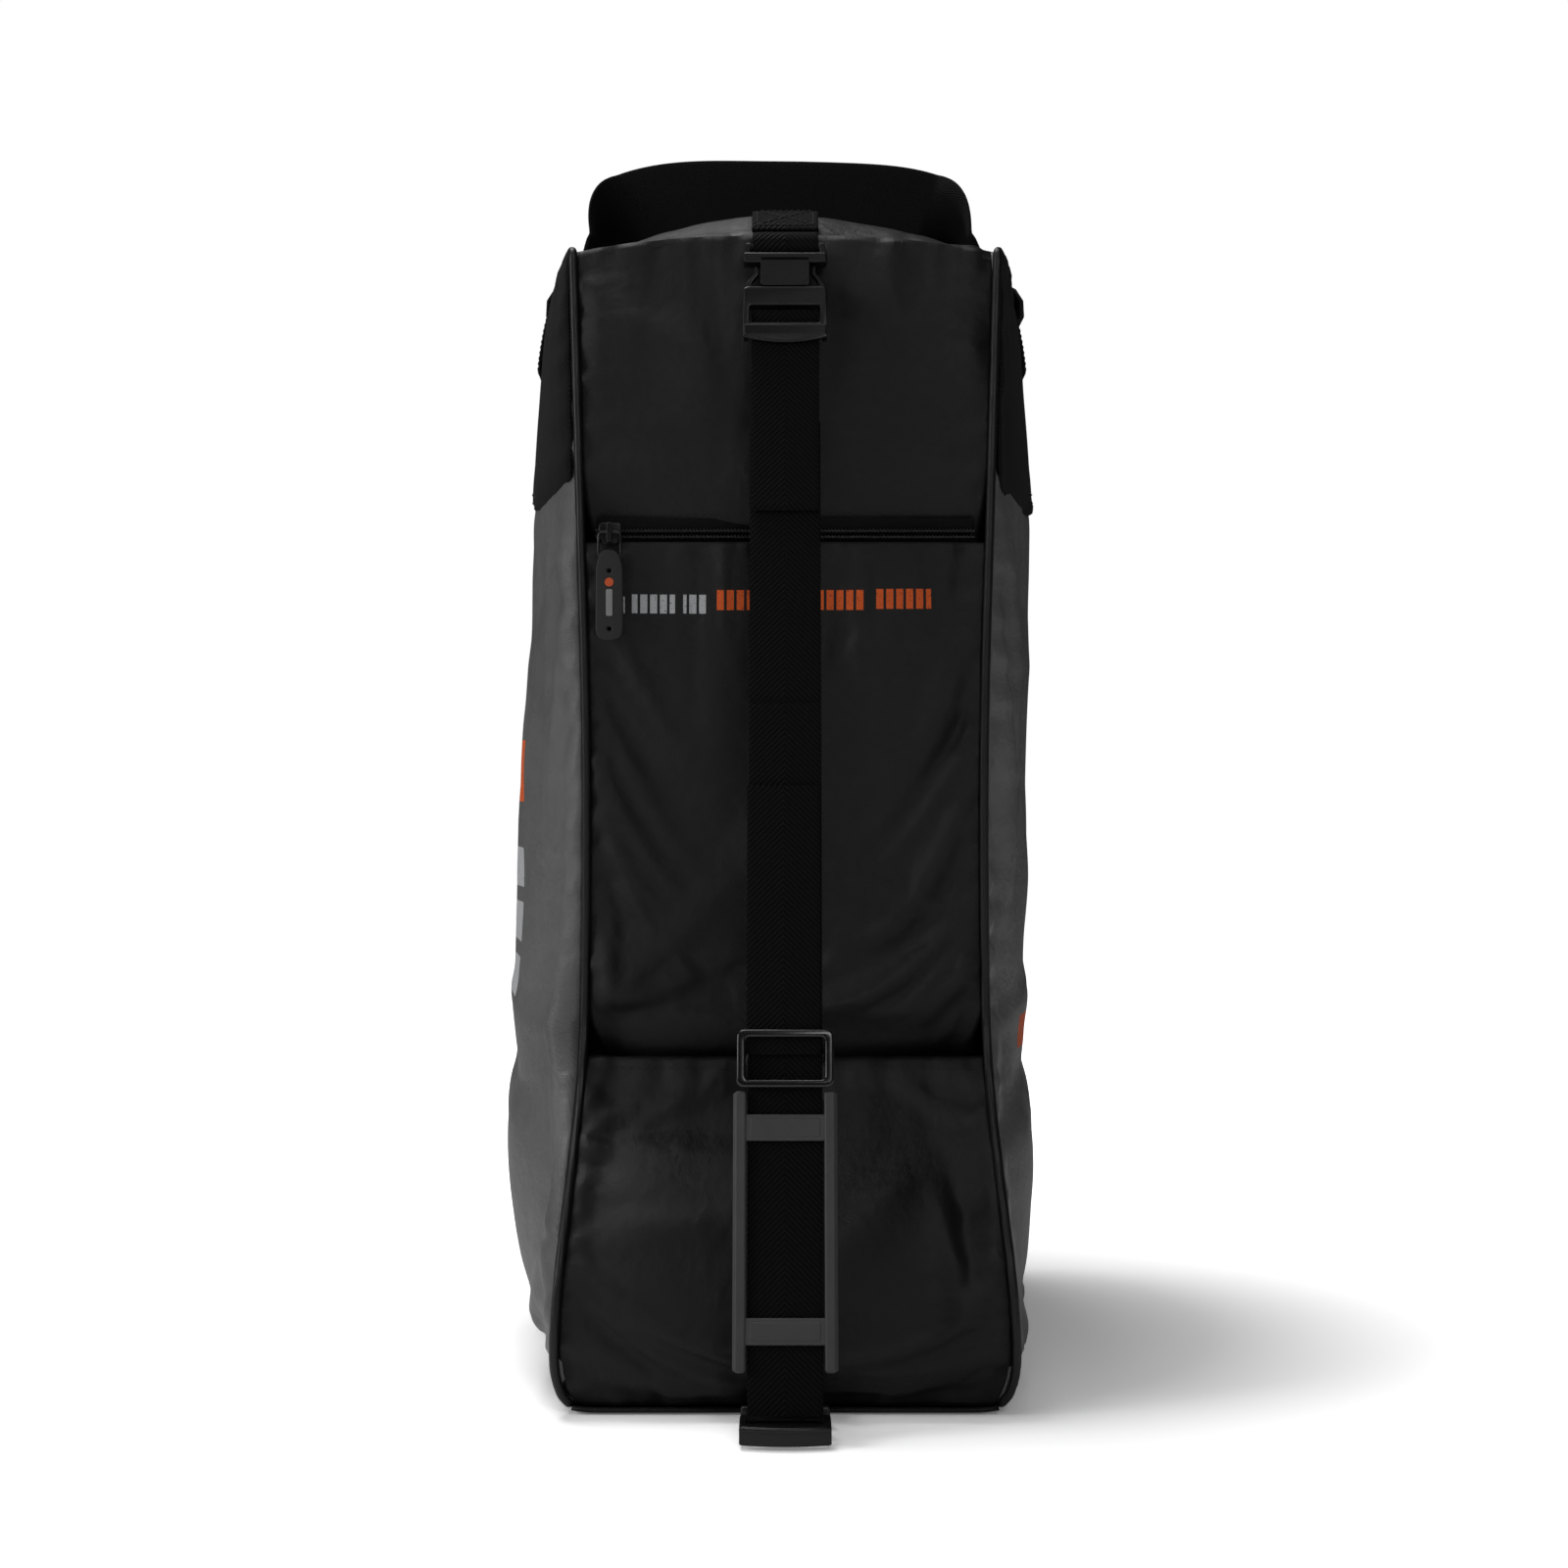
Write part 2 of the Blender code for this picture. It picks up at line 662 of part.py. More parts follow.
def rear_face(nylon, lining, moulded, wire, rubber, rear):
    half = REAR_HALF - SEAM
    clear = 0.0012
    flat_panel("rear_band_upper", -half, half, SEAM, MAIN_ZIP_START - clear, nylon, rear)
    flat_panel("rear_band_lower", -half, half, MAIN_ZIP_END + clear, LOWER_BAND_END, nylon, rear)
    zip_edge, tape_edge, seam_edge = 0.0055, 0.0005, 0.0150
    for side, name in ((-1, "left"), (1, "right")):
        hinge = frame(f"rear_flap_{name}_axis", (side * FLAP_HINGE_X, 0, 0), parent=rear)
        inward = -side

        def from_hinge(x, inward=inward):
            return inward * (FLAP_HINGE_X - x)

        span = (MAIN_ZIP_START, MAIN_ZIP_END)
        leaf = (from_hinge(FLAP_HINGE_X - 0.0005), from_hinge(zip_edge))
        flat_panel(f"rear_flap_{name}", *leaf, *span, nylon, hinge)
        tape = (from_hinge(seam_edge), from_hinge(tape_edge))
        under = -CLOTH - GAP
        flat_panel(
            f"main_zip_tape_{name}", *tape, *span, lining, hinge, outer=under, thickness=0.0006
        )
        x = from_hinge(COIL_RADIUS + 0.0002)
        y = under + GAP + COIL_RADIUS
        ends = [(x, y, -span[0]), (x, y, -span[1])]
        tube(f"main_zip_coil_{name}", ends, COIL_RADIUS, moulded, parent=hinge)
    runner = frame("main_slider_place", (0, 0, -MAIN_SLIDER_START), parent=rear)
    zip_slider("main_zip_slider", 1, wire, runner)
    pull = frame("main_puller_axis", (0, PULLER_STANDOFF, 0), parent=runner)
    zip_puller("main_puller", wire, rubber, pull)


# ---------------------------------------------------------------- carry handle


def handle_path(share):
    """Centre line of the band: upright at its ends, flat and level across the middle."""
    rise = HANDLE_TOP - HANDLE_PIVOT_Z
    angle = math.pi * share
    x = -math.copysign(abs(math.cos(angle)) ** 0.62, math.cos(angle)) * HANDLE_X
    z = HANDLE_PIVOT_Z + rise * math.sin(angle) ** 0.62
    return Vector((x, 0.0, z))


def carry_handle(fabric, patch):
    axis = frame("carry_handle_axis", (0, HANDLE_Y, HANDLE_PIVOT_Z))
    centre = Vector((0, 0, HANDLE_PIVOT_Z))

    def surface(u, v):
        here = handle_path(v)
        along = (handle_path(min(1, v + 0.01)) - handle_path(max(0, v - 0.01))).normalized()
        across = Vector((0, 1, 0)).cross(along)
        turned = (min(v, 1 - v) - TWIST_START) / TWIST_SPAN
        turn = math.pi / 2 * min(1.0, max(0.0, turned)) ** 1.2
        sideways = Vector((0, math.cos(turn), 0)) - across * math.sin(turn)
        neck = min(1.0, 0.35 + min(v, 1 - v) / 0.10)
        return here - centre + sideways * (u - 0.5) * HANDLE_WIDTH * neck

    bm = grid_mesh(surface, 4, 48, (0, 0, 0))
    band = mesh_object("carry_handle", bm, fabric, axis)
    thicken(band, 0.0022, 0)
    for side, name in ((-1, "left"), (1, "right")):

        def stitched(u, v, side=side):
            y = lerp(-0.020, 0.020, u) + HANDLE_Y
            z = lerp(0.452, 0.484, v)
            x = side_x(share_of_depth(y, z), z) + GAP + 0.0022 + GAP + 0.0018
            return (side * x, y, z)

        cells, outward = (5, 4), (side, 0, 0)
        sheet(f"handle_anchor_{name}", stitched, cells, outward, patch, thickness=0.0016)


def build():
    clear_scene()
    nylon = look("black_nylon", (0.014, 0.014, 0.015), 0.62)
    coated = look("grey_coated_fabric", (0.075, 0.077, 0.080), 0.50)
    coarse = look("coarse_black_fabric", (0.012, 0.012, 0.013), 0.80)
    lining = look("lining_fabric", (0.020, 0.020, 0.021), 0.85)
    cord = look("piping_vinyl", (0.008, 0.008, 0.008), 0.45)
    fabric = look("black_webbing", (0.006, 0.006, 0.006), 0.75)
    moulded = look("black_acetal", (0.010, 0.010, 0.010), 0.30)
    grey = look("grey_moulded_pad", (0.045, 0.045, 0.048), 0.50)
    wire = look("blackened_metal", (0.020, 0.020, 0.021), 0.35, 0.9)
    rubber = look("black_rubber", (0.014, 0.014, 0.014), 0.60)
    board = look("base_board_plastic", (0.030, 0.030, 0.030), 0.60)
    base(nylon, board)
    side_panels(coated, coarse)
    front_panels(nylon)
    top_panel(nylon)
    piping(cord)
    pocket_zip(nylon, lining, moulded, wire, rubber)
    hanging, lying, length = strap_axes()
    shoulder_strap(fabric, moulded, grey, hanging, lying, length)
    strap_anchor(fabric)
    rear_face(nylon, lining, moulded, wire, rubber, rear_frame())
    carry_handle(fabric, coarse)


build()
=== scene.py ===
"""Looks of the skate bag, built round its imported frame: metres, +Z up, front face along -Y.

A soft panel starts as its CAD panel's outer face, sampled with rays. It gets folds, ripples and puckers,
is relaxed as cloth with its seams pinned, and is thickened. Moulded pieces are rounded plates drawn in the
axes of the strap and of the lower buckle. Fabric patterns read a UV map whose unit is the metre.
"""

import json
import math

import bmesh
import bpy
import numpy as np
from mathutils import Matrix, Vector
from mathutils.bvhtree import BVHTree


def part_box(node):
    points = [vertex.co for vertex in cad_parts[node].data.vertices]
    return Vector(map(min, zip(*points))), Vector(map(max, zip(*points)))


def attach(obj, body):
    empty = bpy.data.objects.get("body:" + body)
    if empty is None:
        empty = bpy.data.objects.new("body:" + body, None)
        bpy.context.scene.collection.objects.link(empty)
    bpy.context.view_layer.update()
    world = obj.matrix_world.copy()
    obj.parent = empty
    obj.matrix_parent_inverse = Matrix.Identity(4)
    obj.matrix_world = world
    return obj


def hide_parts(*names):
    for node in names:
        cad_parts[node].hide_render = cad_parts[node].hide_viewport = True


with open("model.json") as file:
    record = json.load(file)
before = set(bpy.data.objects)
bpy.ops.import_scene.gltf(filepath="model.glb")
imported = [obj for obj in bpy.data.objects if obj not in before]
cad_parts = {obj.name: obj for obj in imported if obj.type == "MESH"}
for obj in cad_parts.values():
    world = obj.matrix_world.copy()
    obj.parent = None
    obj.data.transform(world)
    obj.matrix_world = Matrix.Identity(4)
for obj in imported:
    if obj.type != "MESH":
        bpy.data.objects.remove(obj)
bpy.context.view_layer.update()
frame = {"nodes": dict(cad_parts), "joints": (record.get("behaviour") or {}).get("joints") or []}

JOINTS = {joint["name"]: joint for joint in frame["joints"]}
MM = 0.001
FRONT, REAR, UP, DOWN = (1, -1), (1, 1), (2, 1), (2, -1)
SIDES = {"left": -1, "right": 1}

# Distances in the strap's own axes, in millimetres down from its top seam
LATCH_ROOT = 21.8
GLIDE_TOP = 343.2
PAD_TOP = 367.8


def lerp(a, b, t):
    return a + (b - a) * t


# ---------------------------------------------------------------- node materials


class Look:
    """One procedural material; its methods add nodes and return the socket to use next."""

    def __init__(self, name, roughness=0.5, metallic=0.0):
        self.material = bpy.data.materials.new(name)
        self.material.use_nodes = True
        self.tree = self.material.node_tree
        self.shader = self.tree.nodes["Principled BSDF"]
        self.set(Roughness=roughness, Metallic=metallic)

    def feed(self, socket, value):
        if isinstance(value, bpy.types.NodeSocket):
            self.tree.links.new(value, socket)
        else:
            socket.default_value = value

    def add(self, kind, **inputs):
        node = self.tree.nodes.new(kind)
        for key, value in inputs.items():
            self.feed(node.inputs[key.replace("_", " ")], value)
        return node

    def set(self, **inputs):
        for key, value in inputs.items():
            self.feed(self.shader.inputs[key.replace("_", " ")], value)

    def math(self, operation, *values):
        node = self.tree.nodes.new("ShaderNodeMath")
        node.operation = operation
        for socket, value in zip(node.inputs, values):
            self.feed(socket, value)
        return node.outputs[0]

    def mix(self, share, a, b):
        node = self.tree.nodes.new("ShaderNodeMix")
        node.data_type = "RGBA"
        for index, value in ((0, share), (6, a), (7, b)):
            self.feed(node.inputs[index], value)
        return node.outputs[2]

    def metres(self):
        """Across and along a fabric, in metres."""
        uv = self.tree.nodes.new("ShaderNodeUVMap")
        uv.uv_map = "metres"
        parts = self.add("ShaderNodeSeparateXYZ", Vector=uv.outputs[0])
        return uv.outputs[0], parts.outputs[0], parts.outputs[1]

    def solid_place(self):
        return self.tree.nodes.new("ShaderNodeTexCoord").outputs["Object"]

    def noise(self, place, scale, detail=3.0, roughness=0.5):
        node = self.add(
            "ShaderNodeTexNoise", Vector=place, Scale=scale, Detail=detail, Roughness=roughness
        )
        return node.outputs[0]

    def ramp(self, value, *stops):
        node = self.tree.nodes.new("ShaderNodeValToRGB")
        self.feed(node.inputs[0], value)
        for index, (position, level) in enumerate(stops):
            if index > 1:
                node.color_ramp.elements.new(position)
            element = node.color_ramp.elements[index]
            element.position = position
            element.color = (*grey(level)[:3], 1.0)
        return node.outputs[0]

    def wave(self, value, pitch):
        """A sine of value with the given pitch, from 0 to 1."""
        turn = self.math("MULTIPLY", value, 2 * math.pi / pitch)
        return self.math("MULTIPLY_ADD", self.math("SINE", turn), 0.5, 0.5)

    def weave(self, across, along, pitch):
        """Plain weave: over and under threads, from 0 to 1."""
        turn = 2 * math.pi / pitch
        a = self.math("SINE", self.math("MULTIPLY", across, turn))
        b = self.math("SINE", self.math("MULTIPLY", along, turn))
        return self.math("MULTIPLY_ADD", self.math("MULTIPLY", a, b), 0.5, 0.5)

    def bump(self, *layers):
        """Layers of (height from 0 to 1, depth in metres) laid over each other."""
        normal = None
        for height, depth in layers:
            node = self.add("ShaderNodeBump", Height=height, Distance=depth)
            node.inputs["Strength"].default_value = 1.0
            if normal is not None:
                self.tree.links.new(normal, node.inputs["Normal"])
            normal = node.outputs[0]
        self.set(Normal=normal)

    def patch(self, across, along, box):
        """1 inside the rectangle (across0, across1, along0, along1), 0 outside."""
        a0, a1, b0, b1 = box
        inside_a = self.math("COMPARE", across, (a0 + a1) / 2, (a1 - a0) / 2)
        inside_b = self.math("COMPARE", along, (b0 + b1) / 2, (b1 - b0) / 2)
        return self.math("MULTIPLY", inside_a, inside_b)

    def patches(self, across, along, boxes):
        total = 0.0
        for box in boxes:
            total = self.math("MAXIMUM", total, self.patch(across, along, box))
        return total


def grey(level):
    """A grey as the screen shows it, 0 to 255, or an (r, g, b) of them, as linear colour."""
    levels = level if isinstance(level, tuple) else (level, level, level)
    shares = [v / 255 for v in levels]
    return (*(v / 12.92 if v < 0.04045 else ((v + 0.055) / 1.055) ** 2.4 for v in shares), 1.0)


def woven_nylon(name, dark, light, pitch=0.9 * MM, roughness=0.46, prints=()):
    """Coated nylon: fine plain weave, soft sheen, rub marks. prints is (colour, boxes, letter pitch)."""
    look = Look(name, roughness)
    place, across, along = look.metres()
    cloudy = look.noise(place, 14.0, 4.0, 0.6)
    threads = look.weave(across, along, pitch)
    colour = look.mix(look.ramp(cloudy, (0.3, 0), (0.7, 255)), grey(dark), grey(light))
    colour = look.mix(look.math("MULTIPLY", threads, 0.35), colour, grey(light + 12))
    rubbed = look.ramp(look.noise(place, 60.0, 5.0, 0.7), (0.52, 0), (0.9, 255))
    colour = look.mix(look.math("MULTIPLY", rubbed, 0.22), colour, grey(light + 30))
    rough = look.math("MULTIPLY_ADD", cloudy, 0.22, roughness - 0.1)
    for ink, boxes, step in prints:
        mask = look.patches(across, along, boxes)
        if step:
            part = look.math("FRACT", look.math("DIVIDE", across, step))
            mask = look.math("MULTIPLY", mask, look.math("COMPARE", part, 0.5, 0.36))
        worn = look.ramp(look.noise(place, 900.0, 2.0), (0.25, 130), (0.42, 255))
        colour = look.mix(look.math("MULTIPLY", mask, worn), colour, grey(ink))
        rough = look.math("MAXIMUM", rough, look.math("MULTIPLY", mask, 0.62))
    look.set(Base_Color=colour, Roughness=rough, Specular_IOR_Level=0.32)
    look.bump((look.noise(place, 160.0, 4.0, 0.6), 0.9 * MM), (threads, 0.10 * MM))
    return look.material


def coarse_weave(name, dark, light, pitch=1.7 * MM):
    """Dull, thick-threaded fabric of the yokes, handle and anchors."""
    look = Look(name, 0.85)
    place, across, along = look.metres()
    threads = look.weave(across, along, pitch)
    fuzz = look.noise(place, 1400.0, 3.0, 0.6)
    cloudy = look.noise(place, 25.0, 3.0)
    colour = look.mix(threads, grey(dark), grey(light))
    colour = look.mix(look.math("MULTIPLY", cloudy, 0.4), colour, grey(dark))
    look.set(Base_Color=colour, Sheen_Weight=0.02, Specular_IOR_Level=0.12)
    look.bump((cloudy, 0.6 * MM), (threads, 0.22 * MM), (fuzz, 0.08 * MM))
    return look.material


def herringbone(name, dark, light, pitch=2.35 * MM):
    """Webbing whose ribs run down and outward from its centre line."""
    look = Look(name, 0.72)
    place, across, along = look.metres()
    outward = look.math("ABSOLUTE", across)
    ribs = look.wave(look.math("ADD", along, outward), pitch)
    threads = look.wave(across, 0.8 * MM)
    picks = look.wave(along, 0.6 * MM)
    fuzz = look.noise(place, 1800.0, 2.0, 0.6)
    colour = look.mix(look.ramp(ribs, (0.25, 0), (0.8, 255)), grey(dark), grey(light))
    colour = look.mix(look.math("MULTIPLY", fuzz, 0.3), colour, grey(light + 8))
    look.set(Base_Color=colour, Specular_IOR_Level=0.08)
    look.bump((ribs, 0.30 * MM), (threads, 0.07 * MM), (picks, 0.05 * MM), (fuzz, 0.05 * MM))
    return look.material


def brighter(level, step):
    return tuple(v + step for v in level) if isinstance(level, tuple) else level + step


def moulded(name, dark, light, roughness, grain=0.05 * MM, coat=0.0, metallic=0.0):
    """Plastic, rubber, vinyl or metal: mottled colour, fine grain, lighter scuffs on its edges."""
    look = Look(name, roughness, metallic)
    place = look.solid_place()
    cloudy = look.noise(place, 90.0, 3.0)
    speck = look.noise(place, 2500.0, 3.0, 0.6)
    scuff = look.ramp(look.noise(place, 420.0, 6.0, 0.75), (0.56, 0), (0.78, 255))
    geometry = look.tree.nodes.new("ShaderNodeNewGeometry")
    edge = look.ramp(geometry.outputs["Pointiness"], (0.50, 0), (0.58, 255))
    wear = look.math("MULTIPLY", edge, look.math("MULTIPLY_ADD", scuff, 0.6, 0.25))
    colour = look.mix(cloudy, grey(dark), grey(light))
    colour = look.mix(look.math("MULTIPLY", wear, 0.5), colour, grey(brighter(light, 24)))
    rough = look.math("MULTIPLY_ADD", speck, 0.16, roughness - 0.08)
    look.set(Base_Color=colour, Roughness=rough, Coat_Weight=coat, Coat_Roughness=0.25)
    look.bump((speck, grain), (scuff, grain * 0.5))
    return look.material


FLOOR_GAIN = 2.0  # how much paler the floor is to the camera than to the light it bounces


def floor_look():
    """Pale floor the camera sees glowing white out to the backdrop; the glow is dimmed near the bag as
    painted shade, and the lamps' real shadow darkens it further.
    """
    look = Look("studio_floor", 0.9)
    place = look.solid_place()
    away = look.add("ShaderNodeVectorMath", Vector=place)
    away.operation = "LENGTH"
    # Glow strength by distance from the bag: low near it, which is painted shade round the base, and full far
    # out for an even white floor.
    lift = look.add("ShaderNodeMapRange", Value=away.outputs["Value"])
    lift.inputs["From Min"].default_value, lift.inputs["From Max"].default_value = 0.20, 0.55
    lift.inputs["To Min"].default_value, lift.inputs["To Max"].default_value = 0.10, 1.0
    seen = look.tree.nodes.new("ShaderNodeLightPath").outputs["Is Camera Ray"]
    faint = look.math("MULTIPLY_ADD", look.noise(place, 3.0, 2.0), 0.02, 0.93)
    pale = look.math("MULTIPLY", faint, look.math("MULTIPLY_ADD", seen, FLOOR_GAIN - 1, 1.0))
    look.set(
        Base_Color=pale,
        Specular_IOR_Level=0.0,
        Emission_Color=grey(255),
        Emission_Strength=look.math("MULTIPLY", lift.outputs[0], seen),
    )
    return look.material


ORANGE, PALE = (236, 100, 40), (196, 197, 200)
FRONT_WORDS = (
    (PALE, ((-0.0715, -0.0690, 0.333, 0.340), (-0.0660, -0.0475, 0.333, 0.341)), 4.2 * MM),
    (PALE, ((-0.0440, -0.0330, 0.333, 0.341),), 4.2 * MM),
    (ORANGE, ((-0.0300, -0.0140, 0.3345, 0.3430),), 4.3 * MM),
    (ORANGE, ((0.0140, 0.0350, 0.3345, 0.3430), (0.0385, 0.0630, 0.3350, 0.3435)), 4.3 * MM),
)
LEFT_PRINT = (
    (ORANGE, ((-0.062, 0.020, 0.252, 0.280),), 0.0),
    (PALE, tuple((-0.058, 0.060, 0.138 + n * 0.025, 0.156 + n * 0.025) for n in range(4)), 0.0),
)
RIGHT_PRINT = (
    (ORANGE, ((-0.062, 0.010, 0.140, 0.155),), 0.0),
    (PALE, tuple((0.004, 0.080, 0.168 + n * 0.025, 0.186 + n * 0.025) for n in range(4)), 0.0),
)

NYLON = woven_nylon("nylon", 13, 25)
POCKET_NYLON = woven_nylon("pocket_nylon", 13, 25, prints=FRONT_WORDS)
COATED = {
    "left": woven_nylon("coated_left", 88, 112, 1.1 * MM, 0.40, LEFT_PRINT),
    "right": woven_nylon("coated_right", 88, 112, 1.1 * MM, 0.40, RIGHT_PRINT),
}
COARSE = coarse_weave("coarse_fabric", 12, 34)
HANDLE_CLOTH = coarse_weave("handle_fabric", 14, 30, 1.3 * MM)
LINING = woven_nylon("lining", 38, 52, 0.7 * MM, 0.7)
TAPE = coarse_weave("zip_tape", 14, 30, 0.8 * MM)
WEBBING = herringbone("webbing", 5, 19)
PIPING = moulded("piping_vinyl", 9, 18, 0.42, 0.08 * MM)
ACETAL = moulded("acetal", 7, 15, 0.30, 0.03 * MM)
GLOSS = moulded("gloss_acetal", 10, 18, 0.20, 0.01 * MM, coat=0.5)
PAD = moulded("pad_plastic", 62, 74, 0.46, 0.06 * MM)
METAL = moulded("blackened_metal", 52, 70, 0.30, 0.02 * MM, metallic=0.9)
RUBBER = moulded("rubber", 30, 40, 0.62, 0.06 * MM)
BOARD = moulded("board_plastic", 44, 60, 0.55, 0.15 * MM)
THREAD = moulded("thread", 16, 34, 0.8, 0.05 * MM)
INLAY_ORANGE = moulded("inlay_orange", (206, 84, 36), (222, 96, 44), 0.5)
INLAY_PALE = moulded("inlay_pale", 130, 152, 0.5)


# ---------------------------------------------------------------- sampling the CAD


def tree_of(node):
    mesh = frame["nodes"][node].data
    faces = [tuple(face.vertices) for face in mesh.polygons]
    return BVHTree.FromPolygons([v.co for v in mesh.vertices], faces)


def cast(tree, facing, place):
    """Where a ray coming in against the facing direction first meets a tree, or None."""
    axis, sign = facing
    start, way = Vector(place), Vector((0, 0, 0))
    start[axis] = sign
    way[axis] = -sign
    return tree.ray_cast(start, way)[0]


def reach(tree, facing, place, axis, inside, outside):
    """The last value along axis at which a ray still meets the tree."""
    for _ in range(16):
        middle = (inside + outside) / 2
        place[axis] = middle
        if cast(tree, facing, place):
            inside = middle
        else:
            outside = middle
    return inside


def cad_face(node, facing, across, columns, rows):
    """A CAD panel's outer face as a grid of points: rows along the free axis, columns across."""
    along = 3 - facing[0] - across
    tree = tree_of(node)
    low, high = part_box(node)
    middle = (low[across] + high[across]) / 2
    margin = 0.02 * MM
    grid = np.zeros((rows + 1, columns + 1, 3))
    for j in range(rows + 1):
        place = [0.0, 0.0, 0.0]
        place[along] = lerp(low[along] + margin, high[along] - margin, j / rows)
        first = reach(tree, facing, place, across, middle, low[across] - MM)
        last = reach(tree, facing, place, across, middle, high[across] + MM)
        for i in range(columns + 1):
            place[across] = lerp(first, last, i / columns)
            grid[j, i] = cast(tree, facing, place) or grid[j, i - 1]
    return grid


def smoothed(grid, passes):
    """Averages facets away; a border only moves along itself."""
    for _ in range(passes):
        wide = np.pad(grid, ((1, 1), (1, 1), (0, 0)), mode="reflect", reflect_type="odd")
        beside = wide[:-2, 1:-1] + wide[2:, 1:-1] + wide[1:-1, :-2] + wide[1:-1, 2:]
        grid = (4 * grid + beside) / 8
    return grid


def facing_vector(facing):
    vector = np.zeros(3)
    vector[facing[0]] = facing[1]
    return vector


def grid_normals(grid, facing):
    normals = np.cross(np.gradient(grid, axis=1), np.gradient(grid, axis=0))
    normals /= np.linalg.norm(normals, axis=2, keepdims=True) + 1e-12
    return normals * np.sign((normals @ facing_vector(facing)).mean())


def border_views(grid):
    """The grid turned so that each border in turn is its column 0; edits reach the grid."""
    swap = (1, 0) + tuple(range(2, grid.ndim))
    return {
        "left": grid,
        "right": grid[:, ::-1],
        "low": grid.transpose(swap),
        "high": grid[::-1].transpose(swap),
    }


def depth_in(view):
    """Distance of each point from column 0, measured along its row."""
    steps = np.linalg.norm(np.diff(view, axis=1), axis=2)
    return np.concatenate((np.zeros((len(view), 1)), np.cumsum(steps, axis=1)), axis=1)


def pull_borders(grid, facing, moves, band=7 * MM):
    """Stretches each named border outward and tucks it inward: moves is {border: (out, in)}."""
    outward = facing_vector(facing)
    for border, (out, tuck) in moves.items():
        view = border_views(grid)[border]
        fade = np.clip(1 - depth_in(view) / band, 0, 1) ** 2
        away = view[:, 0] - view[:, 2]
        away /= np.linalg.norm(away, axis=1, keepdims=True) + 1e-12
        view += fade[..., None] * (away[:, None] * out - outward * tuck)
    return grid


# ---------------------------------------------------------------- folds and cloth


def fold(flat, start, end, widths, height):
    """A ridge, or a hollow if height < 0, along a segment, with its own width on each side."""
    start, end = np.array(start), np.array(end)
    length = np.linalg.norm(end - start)
    along = (end - start) / length
    from_start = flat - start
    travelled = from_start @ along
    beyond = travelled - np.clip(travelled, 0, length)
    side = from_start @ np.array((-along[1], along[0]))
    width = np.where(side > 0, widths[0], widths[1])
    return height * np.exp(-((side / width) ** 2) - (beyond / sum(widths)) ** 2)


def ripples(flat, seed, wavelengths, height, count=7):
    """Soft random undulation: bent sine waves in random directions."""
    rng = np.random.default_rng(seed)
    total = np.zeros(flat.shape[:-1])
    for _ in range(count):
        turn = 2 * math.pi / rng.uniform(*wavelengths)
        angle, phase, bend = rng.uniform(0, math.pi), *rng.uniform(0, 2 * math.pi, 2)
        way = np.array((math.cos(angle), math.sin(angle)))
        cross = np.array((-way[1], way[0]))
        drift = 1.4 * np.sin(flat @ cross * turn * 0.55 + bend)
        total += np.sin(flat @ way * turn + phase + drift)
    return height * total / math.sqrt(count)


def rippled(*how):
    return lambda flat, grid: ripples(flat, *how)


def puckers(grid, flat, seed, height, borders=("left", "right", "low", "high")):
    """Small gathers that run in from sewn borders."""
    rng = np.random.default_rng(seed)
    total = np.zeros(grid.shape[:2])
    views = border_views(total)
    for border in borders:
        place = border_views(flat)[border]
        deep = depth_in(border_views(grid)[border])
        axis = 1 if border in ("left", "right") else 0
        run = place[:, :1, axis]
        for wavelength in (9 * MM, 14 * MM, 23 * MM):
            phase, drift = rng.uniform(0, 6.28, 2)
            swing = np.sin(run * 2 * math.pi / wavelength + phase + 1.8 * np.sin(run * 55 + drift))
            fade = np.exp(-deep / (wavelength * 0.9)) * np.clip(deep / (2 * MM), 0.25, 1)
            views[border][...] += height * swing * fade * wavelength / (14 * MM)
    return total


def doubled(field):
    """A grid of vectors with a halfway row and column put between each two."""
    for axis in (0, 1):
        rows = np.moveaxis(field, axis, 0)
        wide = np.zeros((2 * len(rows) - 1, *rows.shape[1:]))
        wide[::2] = rows
        wide[1::2] = (rows[:-1] + rows[1:]) / 2
        field = np.moveaxis(wide, 0, axis)
    return field


def relax(grid, facing, growth, cap, hold_above=9.0, frames=22):
    """Runs every second point as slightly grown cloth, pinned at its borders and above hold_above."""
    coarse = grid[::2, ::2]
    obj = grid_object("cloth_run", coarse, NYLON, (0, 2), facing)
    held = coarse[..., 2] > hold_above
    held[:2], held[-2:], held[:, :2], held[:, -2:] = True, True, True, True
    group = obj.vertex_groups.new(name="seams")
    group.add([int(i) for i in np.flatnonzero(held)], 1.0, "ADD")
    cloth = obj.modifiers.new("cloth", "CLOTH")
    settings = cloth.settings
    settings.quality = 4
    settings.mass = 0.12
    settings.vertex_group_mass = "seams"
    settings.tension_stiffness = settings.compression_stiffness = 12
    settings.shear_stiffness = 6
    settings.bending_stiffness = 0.35
    settings.shrink_min = -growth
    settings.effector_weights.gravity = 0.6
    cloth.collision_settings.use_collision = False
    scene = bpy.context.scene
    for number in range(1, frames + 1):
        scene.frame_set(number)
    settled = obj.evaluated_get(bpy.context.evaluated_depsgraph_get()).data
    points = np.zeros(len(settled.vertices) * 3)
    settled.vertices.foreach_get("co", points)
    scene.frame_set(1)
    bpy.data.objects.remove(obj, do_unlink=True)
    moved = points.reshape(coarse.shape) - coarse
    size = np.linalg.norm(moved, axis=2, keepdims=True)
    moved *= np.minimum(1, cap / (size + 1e-9))
    return smoothed(grid + doubled(moved), 3)


# ---------------------------------------------------------------- objects


def link(obj):
    bpy.context.scene.collection.objects.link(obj)
    return obj


